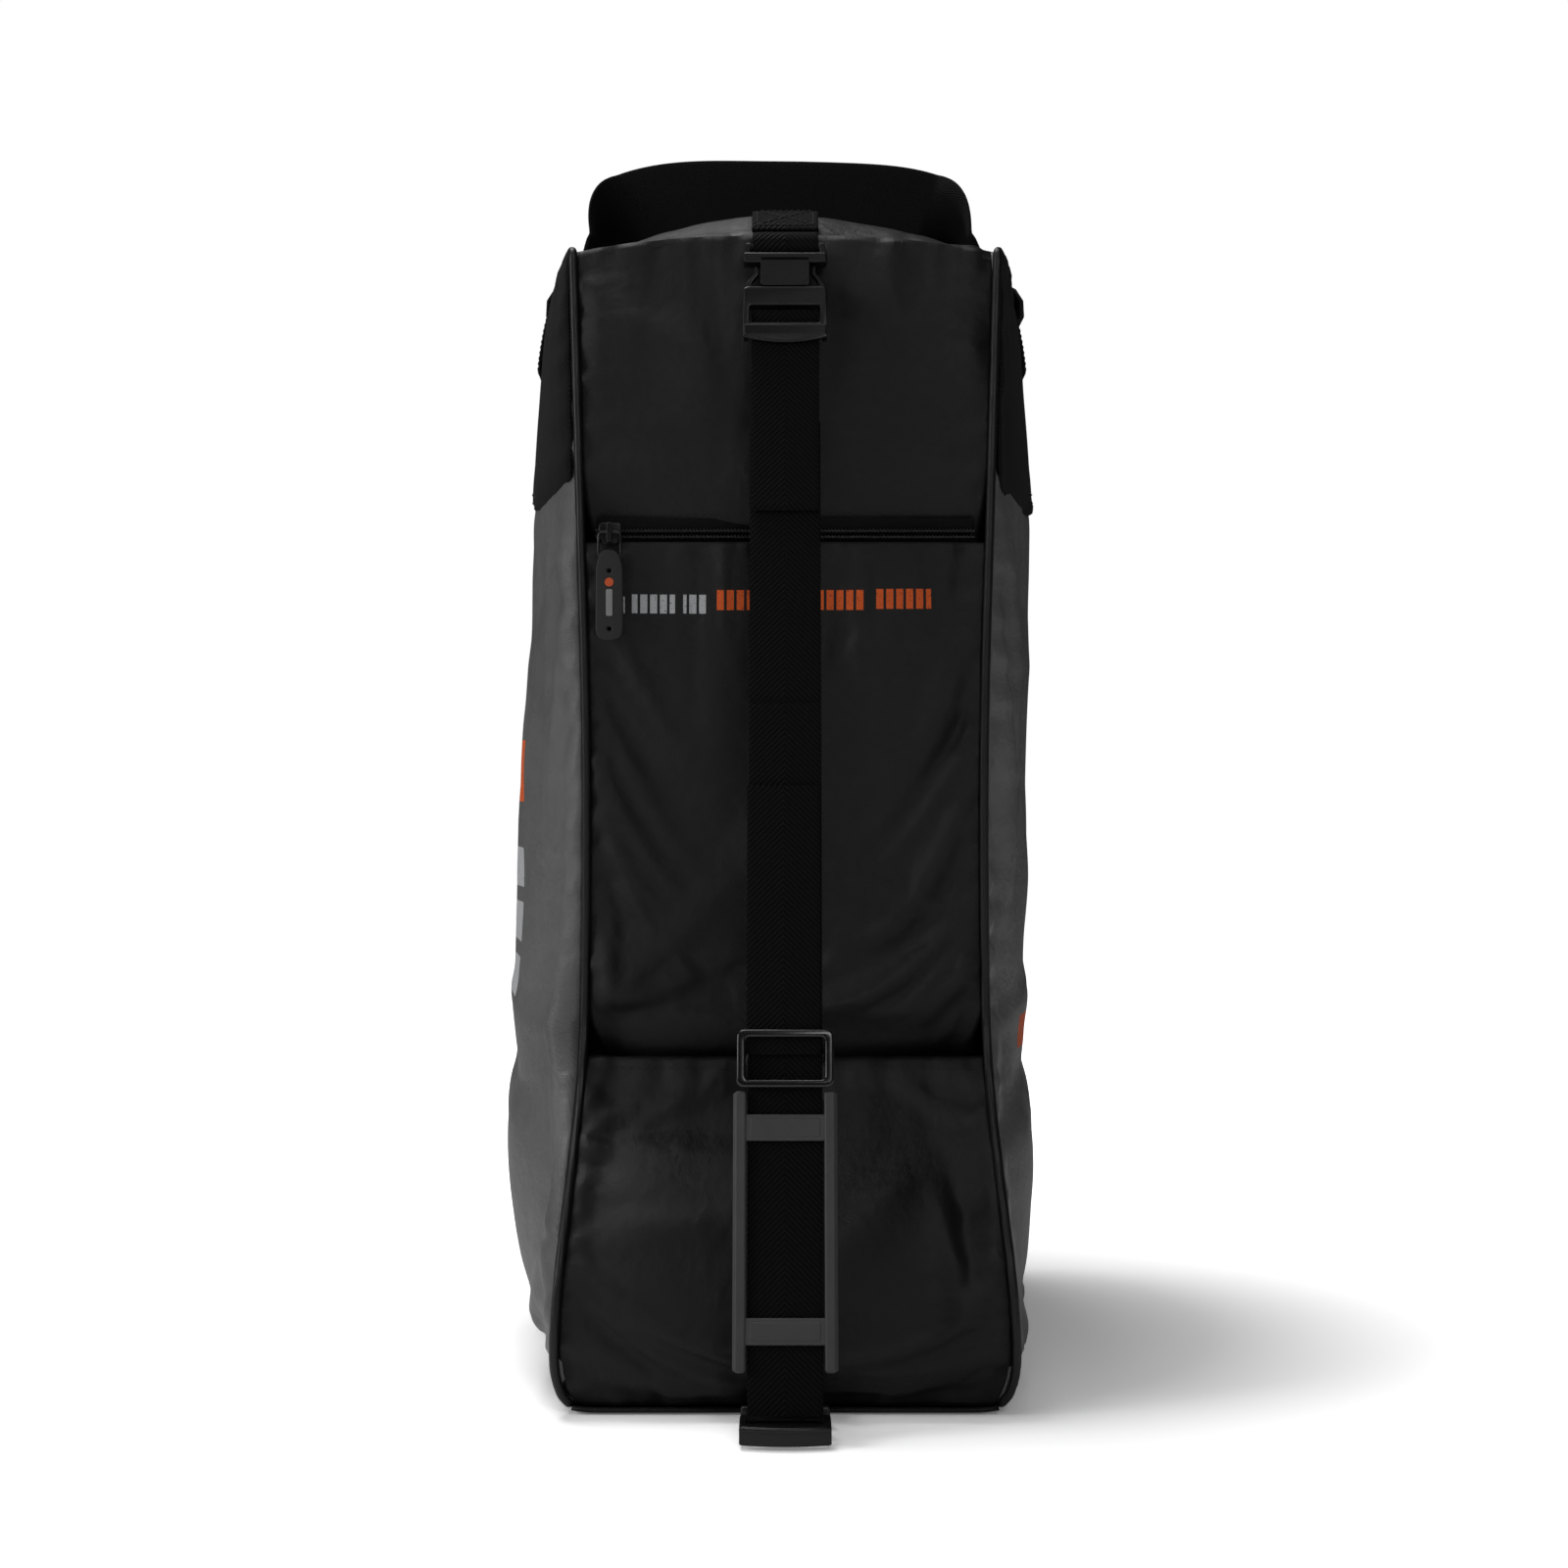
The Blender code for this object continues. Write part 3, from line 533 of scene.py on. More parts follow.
def grid_object(name, grid, material, uv_axes, facing):
    rows, columns = grid.shape[:2]
    index = np.arange(rows * columns).reshape(rows, columns)
    quads = np.stack((index[:-1, :-1], index[:-1, 1:], index[1:, 1:], index[1:, :-1]), -1)
    quads = quads.reshape(-1, 4)
    corner = grid[:2, :2].reshape(4, 3)
    middle = grid[rows // 2 : rows // 2 + 2, columns // 2 : columns // 2 + 2].reshape(4, 3)
    normal = np.cross(middle[1] - middle[0], middle[2] - middle[0])
    if normal @ facing_vector(facing) < 0:
        quads = quads[:, ::-1]
    points = grid.reshape(-1, 3)
    mesh = bpy.data.meshes.new(name)
    mesh.from_pydata(points.tolist(), [], quads.tolist())
    uv = mesh.uv_layers.new(name="metres")
    uv.data.foreach_set("uv", points[quads.ravel()][:, uv_axes].ravel())
    mesh.shade_smooth()
    mesh.materials.append(material)
    return link(bpy.data.objects.new(name, mesh))


def thickened(obj, thickness):
    shell = obj.modifiers.new("thickness", "SOLIDIFY")
    shell.thickness = thickness
    shell.offset = -1
    shell.use_quality_normals = True
    if len(obj.data.materials) > 1:
        shell.material_offset = 1
    return obj


def finish_piece(obj, body, slot, *nodes):
    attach(obj, body)
    if nodes:
        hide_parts(*nodes)
    return obj


SKINS = {}


def soft_panel(node, facing, across, material, body, slot, moves, shape=None, cell=1.4 * MM, **how):
    """A sewn fabric panel in place of a CAD one. shape(flat, grid) gives its relief in metres."""
    along = 3 - facing[0] - across
    low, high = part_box(node)
    columns = 2 * round((high[across] - low[across]) / cell / 2)
    rows = 2 * round((high[along] - low[along]) / cell / 2)
    grid = smoothed(cad_face(node, facing, across, columns, rows), how.get("blur", 110))
    flat = grid[..., (across, along)].copy()
    if how.get("warp"):
        how["warp"](grid)
    pull_borders(grid, facing, moves)
    normals = grid_normals(grid, facing)
    relief = np.zeros(grid.shape[:2])
    if shape:
        relief += shape(flat, grid)
    fade = np.ones(grid.shape[:2])
    for border in moves:
        deep = depth_in(border_views(grid)[border])
        view = border_views(fade)[border]
        view *= np.clip(deep / (9 * MM), 0, 1)
    grid = grid + normals * (relief * fade)[..., None]
    if how.get("growth"):
        grid = relax(grid, facing, how["growth"], how.get("cap", 4 * MM), how.get("hold_above", 9.0))
    gather = how.get("gather", 0.35 * MM)
    grid = grid + normals * puckers(grid, flat, how.get("seed", 1), gather, moves)[..., None]
    obj = grid_object(f"{node}_fabric", grid, material, (across, along), facing)
    flat_uv = flat.reshape(-1, 2)
    uv = obj.data.uv_layers["metres"]
    corners = np.zeros(len(obj.data.loops), dtype=np.int64)
    obj.data.loops.foreach_get("vertex_index", corners)
    uv.data.foreach_set("uv", flat_uv[corners].ravel())
    faces = [tuple(face.vertices) for face in obj.data.polygons]
    SKINS[node] = BVHTree.FromPolygons([v.co for v in obj.data.vertices], faces)
    obj.data.materials.append(LINING)
    thickened(obj, how.get("thickness", 1.8 * MM))
    return finish_piece(obj, body, slot, node)


def joined(name, bm, material, smooth_angle=38):
    mesh = bpy.data.meshes.new(name)
    bm.to_mesh(mesh)
    bm.free()
    mesh.shade_smooth()
    mesh.set_sharp_from_angle(angle=math.radians(smooth_angle))
    mesh.materials.append(material)
    return link(bpy.data.objects.new(name, mesh))


def rounded_outline(points, radius, steps=5):
    """A closed outline of (x, y) points with an arc at each corner."""
    outline = []
    count = len(points)
    for i, point in enumerate(points):
        here = Vector(point)
        before = Vector(points[i - 1]) - here
        after = Vector(points[(i + 1) % count]) - here
        size = min(radius, before.length * 0.48, after.length * 0.48)
        before = before.normalized() * size
        after = after.normalized() * size
        for n in range(steps + 1):
            t = n / steps
            outline.append(here + before * (1 - t) ** 2 + after * t**2)
    return outline


def box_outline(x0, x1, down0, down1, radius=1.0):
    corners = ((x0, -down1), (x1, -down1), (x1, -down0), (x0, -down0))
    return rounded_outline(corners, radius)


def add_plate(bm, place, outlines, depth, bevel=0.5, round_steps=3):
    """Adds a rounded plate in millimetres: outlines in (x, -down), depth its two faces in local Y."""
    curve = bpy.data.curves.new("outline", "CURVE")
    curve.dimensions = "2D"
    curve.fill_mode = "BOTH"
    curve.extrude = (abs(depth[1] - depth[0]) / 2 - bevel) * MM
    curve.bevel_depth = bevel * MM
    curve.bevel_resolution = round_steps
    curve.offset = -bevel * MM
    for outline in outlines:
        spline = curve.splines.new("POLY")
        spline.points.add(len(outline) - 1)
        for point, place_2d in zip(spline.points, outline):
            point.co = (place_2d[0] * MM, place_2d[1] * MM, 0.0, 1.0)
        spline.use_cyclic_u = True
    obj = link(bpy.data.objects.new("outline", curve))
    ready = obj.evaluated_get(bpy.context.evaluated_depsgraph_get())
    mesh = bpy.data.meshes.new_from_object(ready)
    stand = Matrix(((1, 0, 0, 0), (0, 0, -1, (depth[0] + depth[1]) / 2 * MM), (0, 1, 0, 0), (0, 0, 0, 1)))
    mesh.transform(place @ stand)
    first = len(bm.verts)
    bm.from_mesh(mesh)
    bm.verts.ensure_lookup_table()
    bmesh.ops.remove_doubles(bm, verts=bm.verts[first:], dist=1e-6)
    bpy.data.objects.remove(obj, do_unlink=True)
    bpy.data.meshes.remove(mesh)


def plates(name, place, parts, material, body, slot, *nodes):
    """One moulded piece from rounded plates, each (outlines, depth) or (outlines, depth, bevel)."""
    bm = bmesh.new()
    for part in parts:
        add_plate(bm, place, *part)
    return finish_piece(joined(name, bm, material), body, slot, *nodes)


def sweep(name, centres, across, half_widths, half_depth, material, power=6, sides=24):
    """A band with a rounded-rectangle section swept along centres; UVs are metres across and along."""
    centres, across = np.array(centres, float), np.array(across, float)
    along = np.gradient(centres, axis=0)
    along /= np.linalg.norm(along, axis=1, keepdims=True)
    across = across - along * (across * along).sum(1, keepdims=True)
    across /= np.linalg.norm(across, axis=1, keepdims=True)
    normal = np.cross(along, across)
    widths = np.broadcast_to(half_widths, (len(centres),))
    turn = np.arange(sides) * 2 * math.pi / sides + math.pi / sides
    flat = np.sign(np.cos(turn)) * np.abs(np.cos(turn)) ** (2 / power)
    thick = np.sign(np.sin(turn)) * np.abs(np.sin(turn)) ** (2 / power)
    rings = centres[:, None] + across[:, None] * (flat * widths[:, None])[..., None]
    rings = rings + normal[:, None] * (thick * half_depth)[None, :, None]
    travelled = np.concatenate(([0], np.cumsum(np.linalg.norm(np.diff(centres, axis=0), axis=1))))
    bm = bmesh.new()
    uv = bm.loops.layers.uv.new("metres")
    verts = [[bm.verts.new(point) for point in ring] for ring in rings]
    for j in range(len(verts) - 1):
        for i in range(sides):
            k = (i + 1) % sides
            face = bm.faces.new((verts[j][i], verts[j][k], verts[j + 1][k], verts[j + 1][i]))
            for loop, (row, column) in zip(face.loops, ((j, i), (j, k), (j + 1, k), (j + 1, i))):
                loop[uv].uv = (flat[column] * widths[row], -travelled[row])
    bm.faces.new(verts[0][::-1])
    bm.faces.new(verts[-1])
    bmesh.ops.recalc_face_normals(bm, faces=bm.faces)
    return joined(name, bm, material, 60)


def rod(bm, points, radius, sides=8, closed=False):
    """Adds a round rod along points to bm."""
    points = [Vector(p) for p in points]
    count = len(points)
    rings = []
    side = None
    for i, point in enumerate(points):
        ahead = points[(i + 1) % count] if closed or i < count - 1 else point
        behind = points[i - 1] if closed or i > 0 else point
        along = (ahead - behind).normalized()
        if side is None:
            side = along.orthogonal()
        side = (side - along * side.dot(along)).normalized()
        third = along.cross(side)
        ring = []
        for n in range(sides):
            a = 2 * math.pi * n / sides
            ring.append(bm.verts.new(point + (side * math.cos(a) + third * math.sin(a)) * radius))
        rings.append(ring)
    pairs = list(zip(rings, rings[1:])) + ([(rings[-1], rings[0])] if closed else [])
    for a, b in pairs:
        for n in range(sides):
            k = (n + 1) % sides
            bm.faces.new((a[n], a[k], b[k], b[n]))
    if not closed:
        bm.faces.new(rings[0][::-1])
        bm.faces.new(rings[-1])


def stitch_rows(name, skin, facing, lines, body, spacing=3.4 * MM, length=2.3 * MM, material=None):
    """Rows of stitches lying on a skin along straight lines of ((point), (point)) in the row frame."""
    bm = bmesh.new()
    outward = Vector(facing_vector(facing))
    for start, end in lines:
        start, end = Vector(start), Vector(end)
        run = (end - start).length
        way = (end - start).normalized()
        for n in range(int(run / spacing)):
            middle = start + way * (n + 0.5) * spacing
            points = []
            for t, lift in ((-0.5, -0.15), (-0.3, 0.22), (0.0, 0.3), (0.3, 0.22), (0.5, -0.15)):
                hit = cast(skin, facing, middle + way * length * t)
                if hit:
                    points.append(hit + outward * lift * MM)
            if len(points) == 5:
                rod(bm, points, 0.26 * MM, 5)
    obj = joined(name, bm, material or THREAD, 80)
    return finish_piece(obj, body, "black_webbing")


# ---------------------------------------------------------------- bag body


def share_point(node, across, along):
    """Turns shares of a panel's box into metres across and along it."""
    low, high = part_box(node)

    def point(u, v):
        return (lerp(low[across], high[across], u), lerp(low[along], high[along], v))

    return point


def creased(relief, flat, at, folds):
    """Adds folds to a relief: ends as shares of the panel, then two widths and a height in millimetres."""
    for u0, v0, u1, v1, beside, beyond, height in folds:
        relief += fold(flat, at(u0, v0), at(u1, v1), (beside * MM, beyond * MM), height * MM)


def upper_relief(flat, grid):
    at = share_point("front_upper_panel", 0, 2)
    relief = ripples(flat, 11, (0.05, 0.12), 0.9 * MM)
    folds = (
        (0.05, 0.37, 0.26, 0.38, 4, 6, 0.7),
        (0.59, 0.31, 0.87, 0.27, 4, 6, 0.8),
        (0.05, 0.80, 0.30, 0.62, 9, 14, 1.8),
        (0.98, 0.62, 0.66, 0.84, 8, 14, 1.6),
        (0.30, 0.98, 0.36, 0.60, 9, 9, -1.6),
        (0.66, 0.98, 0.60, 0.66, 9, 9, -1.4),
    )
    creased(relief, flat, at, folds)
    return 1.6 * relief


def pocket_relief(flat, grid):
    at = share_point("front_pocket_panel", 0, 2)
    relief = ripples(flat, 21, (0.06, 0.13), 1.0 * MM)
    folds = (
        (0.64, 0.80, 0.65, 0.81, 5, 5, -1.5),
        (0.94, 0.64, 0.87, 0.56, 5, 4, -2.2),
        (0.86, 0.54, 0.89, 0.66, 7, 7, 1.2),
        (0.42, 0.38, 0.02, 0.10, 10, 22, 3.4),
        (0.45, 0.20, 0.02, 0.06, 14, 9, -5.2),
        (0.58, 0.38, 0.86, 0.27, 16, 9, 3.0),
        (0.56, 0.22, 0.84, 0.24, 8, 8, -4.2),
        (0.62, 0.14, 0.97, 0.16, 7, 7, 2.4),
        (0.56, 0.05, 0.96, 0.07, 10, 8, -2.0),
    )
    creased(relief, flat, at, folds)
    return 1.3 * relief


def lower_relief(flat, grid):
    at = share_point("front_lower_panel", 0, 2)
    relief = ripples(flat, 31, (0.05, 0.11), 1.3 * MM)
    folds = (
        (0.04, 0.50, 0.28, 0.55, 6, 9, 1.6),
        (0.60, 0.42, 0.74, 0.64, 6, 10, 1.5),
        (0.74, 0.64, 0.94, 0.80, 6, 10, 1.3),
        (0.90, 0.58, 0.96, 0.30, 5, 5, -2.6),
        (0.86, 0.60, 0.90, 0.30, 5, 6, 1.4),
        (0.10, 0.90, 0.45, 0.80, 9, 9, -1.8),
    )
    creased(relief, flat, at, folds)
    return 1.6 * relief


# How far the filled bag's sides stand off their even shape, as (height, left, right) in metres
SLUMP = (
    (0.000, 0.000, 0.000),
    (0.017, 0.000, 0.001),
    (0.050, 0.012, 0.000),
    (0.073, 0.013, -0.001),
    (0.110, 0.0155, 0.001),
    (0.148, 0.014, -0.003),
    (0.190, 0.011, -0.003),
    (0.260, 0.008, -0.002),
    (0.315, 0.008, 0.003),
    (0.371, 0.003, 0.000),
    (0.408, 0.001, -0.002),
    (0.482, 0.001, -0.002),
    (0.500, 0.000, 0.000),
)


def slump(flat, name):
    """The sides' lean and bulge, strongest at mid depth."""
    heights, left, right = np.array(SLUMP).T
    low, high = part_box(f"side_panel_{name}")
    share = np.clip((flat[..., 0] - low.y) / (high.y - low.y), 0, 1)
    amount = np.interp(flat[..., 1], heights, left if name == "left" else right)
    return amount * np.sin(math.pi * share) ** 0.5


def side_relief(name, seed):
    def relief_of(flat, grid):
        at = share_point("side_panel_left", 1, 2)
        below_hem = np.clip((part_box("side_yoke_left")[0].z - flat[..., 1]) / 0.03, 0, 1)
        relief = ripples(flat, seed, (0.08, 0.18), 1.3 * MM)
        rng = np.random.default_rng(seed + 7)
        for _ in range(16):
            u, v = rng.uniform(0.0, 0.95), rng.uniform(0.08, 0.70)
            run, rise = rng.uniform(-0.10, 0.10), rng.uniform(0.10, 0.24)
            width, height = rng.uniform(2.5, 5.0) * MM, rng.uniform(-1.1, 1.1) * MM
            relief += fold(flat, at(u, v), at(u + run, v + rise), (width, 1.8 * width), height)
        folds = (
            (0.02, 0.28, 0.55, 0.33, 7, 12, 2.2),
            (0.05, 0.22, 0.60, 0.27, 9, 9, -2.4),
            (0.25, 0.75, 0.45, 0.45, 12, 16, 2.4),
            (0.95, 0.62, 0.70, 0.40, 10, 14, 2.0),
        )
        creased(relief, flat, at, folds)
        return relief * below_hem + slump(flat, name)

    return relief_of


def top_lift(x, y):
    """How far the stuffed top stands above the CAD: its front seam arches and swells just behind."""
    low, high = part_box("top_panel")
    arch = 6 * MM * np.clip(1 - np.abs(x / (high.x - 9 * MM)) ** 2.4, 0, 1)
    deep = y - low.y
    swell = 1 + 1.6 * np.exp(-(((deep - 0.030) / 0.022) ** 2))
    return arch * swell * np.exp(-((deep / 0.12) ** 2))


def lift_top(grid):
    grid[..., 2] += top_lift(grid[..., 0], grid[..., 1])


def lift_front_edge(grid):
    edge = grid[-1, 0, 2]
    fade = np.clip(1 - (edge - grid[..., 2]) / 0.055, 0, 1) ** 2
    grid[..., 2] += top_lift(grid[..., 0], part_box("top_panel")[0].y) * fade


HEMS = {}


def level_hem(name):
    """Lowers the yoke's hem toward the front, and keeps its line for the stitching."""

    def warp(grid):
        low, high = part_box(f"side_yoke_{name}")
        spots = (low.y, -0.060, 0.0, high.y)
        move = np.interp(grid[..., 1], spots, (-16 * MM, -5 * MM, 4 * MM, 0.0))
        fade = np.clip(1 - (grid[..., 2] - grid[:1, :, 2]) / 0.06, 0, 1)
        grid[..., 2] += move * fade
        HEMS[name] = [(0, y, z) for _, y, z in grid[0, 4:-4:5]]

    return warp


def bag_panels():
    piping_edge, seam_edge = (2.4 * MM, 1.0 * MM), (0.7 * MM, 0.7 * MM)
    edges = {"left": piping_edge, "right": piping_edge}
    bag = "bag"
    soft_panel(
        "front_upper_panel", FRONT, 0, NYLON, bag, "black_nylon",
        {**edges, "low": (0.0, -0.6 * MM), "high": piping_edge}, upper_relief,
        growth=0.012, seed=12, gather=0.5 * MM, warp=lift_front_edge,
    )
    soft_panel(
        "front_pocket_panel", FRONT, 0, POCKET_NYLON, bag, "black_nylon",
        {**edges, "low": seam_edge, "high": (0.0, 0.9 * MM)}, pocket_relief,
        growth=0.012, seed=22, cap=5 * MM, gather=0.5 * MM,
    )
    soft_panel(
        "front_lower_panel", FRONT, 0, NYLON, bag, "black_nylon",
        {**edges, "low": piping_edge, "high": seam_edge}, lower_relief,
        growth=0.014, seed=32, cap=5 * MM, gather=0.5 * MM,
    )
    around = {"left": piping_edge, "right": piping_edge, "low": piping_edge, "high": piping_edge}
    for name, sign in SIDES.items():
        side = (0, sign)
        soft_panel(
            f"side_panel_{name}", side, 1, COATED[name], bag, "grey_coated_fabric", around,
            side_relief(name, 41 + sign), cell=2.4 * MM, blur=50, growth=0.016, cap=5 * MM, seed=42 + sign,
            gather=0.6 * MM, hold_above=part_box("side_yoke_left")[0].z - 0.006,
        )
        soft_panel(
            f"side_yoke_{name}", side, 1, COARSE, bag, "coarse_black_fabric",
            {"left": piping_edge, "right": piping_edge, "high": piping_edge, "low": (0.0, -0.2 * MM)},
            lambda flat, grid, name=name: slump(flat, name) + ripples(flat, 51, (0.06, 0.14), 0.3 * MM),
            cell=2.2 * MM, blur=50, seed=52 + sign, thickness=1.2 * MM, warp=level_hem(name),
        )
    soft_panel(
        "top_panel", UP, 0, NYLON, bag, "black_nylon", around,
        rippled(61, (0.06, 0.15), 1.0 * MM), cell=2.0 * MM, blur=60,
        growth=0.010, seed=62, warp=lift_top,
    )
    soft_panel(
        "base_panel", DOWN, 0, NYLON, bag, "black_nylon", around,
        None, cell=3.0 * MM, blur=30, gather=0.0,
    )
    for name in ("upper", "lower"):
        soft_panel(
            f"rear_band_{name}", REAR, 0, NYLON, bag, "black_nylon",
            {"left": piping_edge, "right": piping_edge, "low": seam_edge, "high": seam_edge},
            None, blur=20, gather=0.15 * MM,
        )
    soft_panel(
        "pocket_lining", FRONT, 0, LINING, bag, "lining_fabric", {},
        rippled(71, (0.03, 0.07), 0.8 * MM), cell=3 * MM, blur=30,
        thickness=0.5 * MM,
    )


def piping_cords():
    """The CAD cords, welded and rounded, with a vinyl cover."""
    for name in SIDES:
        cord = frame["nodes"][f"piping_{name}"]
        cord.data.materials.clear()
        cord.data.materials.append(PIPING)
        weld = cord.modifiers.new("weld", "WELD")
        weld.merge_threshold = 0.01 * MM
        round_off = cord.modifiers.new("round", "SUBSURF")
        round_off.levels = round_off.render_levels = 2
        swell = cord.modifiers.new("swell", "DISPLACE")
        swell.strength = 0.25 * MM
        swell.mid_level = 0.0


def bag_stitching():
    upper, lower = SKINS["front_upper_panel"], SKINS["front_lower_panel"]
    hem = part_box("front_upper_panel")[0].z + 5 * MM
    edge = 0.082
    lines = [((-edge, 0, hem), (edge, 0, hem))]
    stitch_rows("zip_flap_stitches", upper, FRONT, lines, "bag")
    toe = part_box("front_lower_panel")[1].z
    lines = [((-edge, 0, toe - 4 * MM), (edge, 0, toe - 4 * MM))]
    stitch_rows("toe_seam_stitches", lower, FRONT, lines, "bag")
    for name, sign in SIDES.items():
        lines = []
        for rise in (4 * MM, 8 * MM):
            spots = [(x, y, z + rise) for x, y, z in HEMS[name]]
            lines += zip(spots, spots[1:])
        stitch_rows(f"yoke_stitches_{name}", SKINS[f"side_yoke_{name}"], (0, sign), lines, "bag")


# ---------------------------------------------------------------- zips


def coil(name, start, end, radius, material, body, slot, *nodes):
    """A zip coil: a helix of thin wire round a straight core."""
    start, end = Vector(start), Vector(end)
    way = (end - start).normalized()
    side = way.orthogonal()
    third = way.cross(side)
    pitch, per_turn, wire = 1.5 * MM, 8, 0.32 * MM
    turns = (end - start).length / pitch
    points = []
    for n in range(int(turns * per_turn)):
        a = 2 * math.pi * n / per_turn
        reach_out = (side * math.cos(a) + third * math.sin(a)) * (radius - wire)
        points.append(start + way * pitch * n / per_turn + reach_out)
    bm = bmesh.new()
    rod(bm, points, wire, 5)
    rod(bm, [start, end], radius * 0.45, 6)
    return finish_piece(joined(name, bm, material, 80), body, slot, *nodes)


def zip_coils():
    for name in ("upper", "lower"):
        node = f"pocket_zip_coil_{name}"
        low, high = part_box(node)
        middle = (low + high) / 2
        coil(
            f"{node}_teeth", (low.x, middle.y, middle.z), (high.x, middle.y, middle.z),
            (high.z - low.z) / 2, ACETAL, "bag", "black_acetal", node,
        )
    for name in SIDES:
        node = f"main_zip_coil_{name}"
        low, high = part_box(node)
        radius = (high.x - low.x) / 2
        x = (low.x + high.x) / 2
        coil(
            f"{node}_teeth", (x, low.y + radius, high.z), (x, high.y - radius, low.z),
            radius, ACETAL, f"flap_{name}", "black_acetal", node,
        )


def zip_tapes():
    flat_tape = {"blur": 4, "gather": 0.0, "thickness": 0.5 * MM}
    for name in ("upper", "lower"):
        soft_panel(
            f"pocket_zip_tape_{name}", FRONT, 0, TAPE, "bag", "black_nylon", {},
            rippled(81, (0.02, 0.05), 0.1 * MM), cell=1.0 * MM, **flat_tape,
        )
    for name in SIDES:
        soft_panel(
            f"main_zip_tape_{name}", REAR, 0, TAPE, f"flap_{name}", "lining_fabric", {},
            rippled(82, (0.03, 0.06), 0.1 * MM), cell=1.5 * MM, **flat_tape,
        )


def rear_flaps():
    for name, sign in SIDES.items():
        inner = "right" if name == "left" else "left"
        soft_panel(
            f"rear_flap_{name}", REAR, 0, NYLON, f"flap_{name}", "black_nylon",
            {name: (1.6 * MM, 0.8 * MM), inner: (0.0, -0.3 * MM), "low": (0.4 * MM, 0.5 * MM),
             "high": (0.4 * MM, 0.5 * MM)},
            rippled(91, (0.05, 0.12), 0.8 * MM), cell=2.2 * MM, blur=10,
            growth=0.01, cap=2.5 * MM, seed=92 + sign, gather=0.3 * MM, thickness=1.4 * MM,
        )
        low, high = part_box(f"rear_flap_{name}")
        rows = []
        for inset in (5 * MM, 8 * MM):
            x = sign * (min(abs(low.x), abs(high.x)) + inset)
            rows.append(((x, 0, low.z + 4 * MM), (x, 0, high.z - 4 * MM)))
        stitch_rows(f"flap_stitches_{name}", SKINS[f"rear_flap_{name}"], REAR, rows, f"flap_{name}")


def slider(name, node, facing, body):
    """Zip slider: shaped plate, crown and bridge, where the CAD one is."""
    low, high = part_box(node)
    centre = (low + high) / 2
    sign = facing[1]
    base = low.y if sign > 0 else high.y
    place = Matrix.Translation((centre.x, base, centre.z))
    if name == "main":
        lean = math.atan2(-JOINTS["main_slider_slide"]["axis"][1], -JOINTS["main_slider_slide"]["axis"][2])
        place = place @ Matrix.Rotation(-lean, 4, "X")
    half_x, half_z = (high.x - low.x) / 2 / MM, (high.z - low.z) / 2 / MM
    height = (high.y - low.y) / MM
    body_outline = rounded_outline(
        ((-half_x * 0.62, -half_z), (half_x * 0.62, -half_z), (half_x, half_z * 0.2),
         (half_x * 0.9, half_z), (-half_x * 0.9, half_z), (-half_x, half_z * 0.2)), 1.2
    )
    parts = [([body_outline], (0.0, sign * 1.5), 0.4)]
    for end in (-1, 1):
        foot = box_outline(-1.1, 1.1, end * 3.4 - 0.8, end * 3.4 + 0.8, 0.4)
        parts.append(([foot], (sign * 1.2, sign * (height - 0.5)), 0.3))
    parts.append(([box_outline(-1.2, 1.2, -4.1, 4.1, 0.8)], (sign * (height - 1.3), sign * height), 0.4))
    return plates(f"{name}_slider_body", place, parts, METAL, body, "blackened_metal", node)


def puller(name, node_start, joint, facing, body):
    """Wire loop and rubber grip with two pin holes, a round inlay and a bar inlay."""
    pivot = Vector(JOINTS[joint]["pos_m"])
    low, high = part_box(f"{node_start}_grip")
    sign = facing[1]
    place = Matrix.Translation(pivot)
    bm = bmesh.new()
    half, drop, wire = 5.0, 10.0, 0.65
    corners = ((-half * 0.9, 0.2), (half * 0.9, 0.2), (half, -drop), (-half, -drop))
    outline = [place @ Vector((x * MM, 0, z * MM)) for x, z in rounded_outline(corners, 1.5)]
    rod(bm, outline, wire * MM, 8, closed=True)
    loop = joined(f"{name}_wire_loop", bm, METAL, 80)
    finish_piece(loop, body, "blackened_metal", f"{node_start}_loop")
    end = (low.z - pivot.z) / MM
    top, width = -7.4, (high.x - low.x) / 2 / MM
    shape = rounded_outline(
        ((-width, end), (width, end), (width * 0.96, -13.5), (3.2, top), (-3.2, top), (-width * 0.96, -13.5)),
        5.4, 8,
    )
    holes = [round_outline(0, z, 0.9) for z in (-16.5, end + 5.0)]
    parts = [([shape, *holes], (-1.7, 1.7), 0.7)]
    grip = plates(f"{name}_rubber_grip", place, parts, RUBBER, body, "black_rubber", f"{node_start}_grip")
    face = sign * 1.7
    dot = [([round_outline(0, -21.5, 1.9)], (face - 0.2 * sign, face + 0.25 * sign), 0.1)]
    plates(f"{name}_dot_inlay", place, dot, INLAY_ORANGE, body, "black_rubber")
    bar = [([box_outline(-1.4, 1.4, 24.5, 36.0, 0.8)], (face - 0.2 * sign, face + 0.25 * sign), 0.1)]
    plates(f"{name}_bar_inlay", place, bar, INLAY_PALE, body, "black_rubber")
    return grip


def round_outline(x, y, radius, count=20):
    turns = [2 * math.pi * n / count for n in range(count)]
    return [(x + radius * math.cos(a), y + radius * math.sin(a)) for a in turns]


# ---------------------------------------------------------------- strap


def strap_place():
    """The strap's axes: X across, -Z down the strap, -Y out from the bag, origin at its top seam."""
    down = Vector(JOINTS["upper_plug_release"]["axis"]).normalized()
    origin = Vector(JOINTS["strap_swing"]["pos_m"])
    return axes(origin, down)


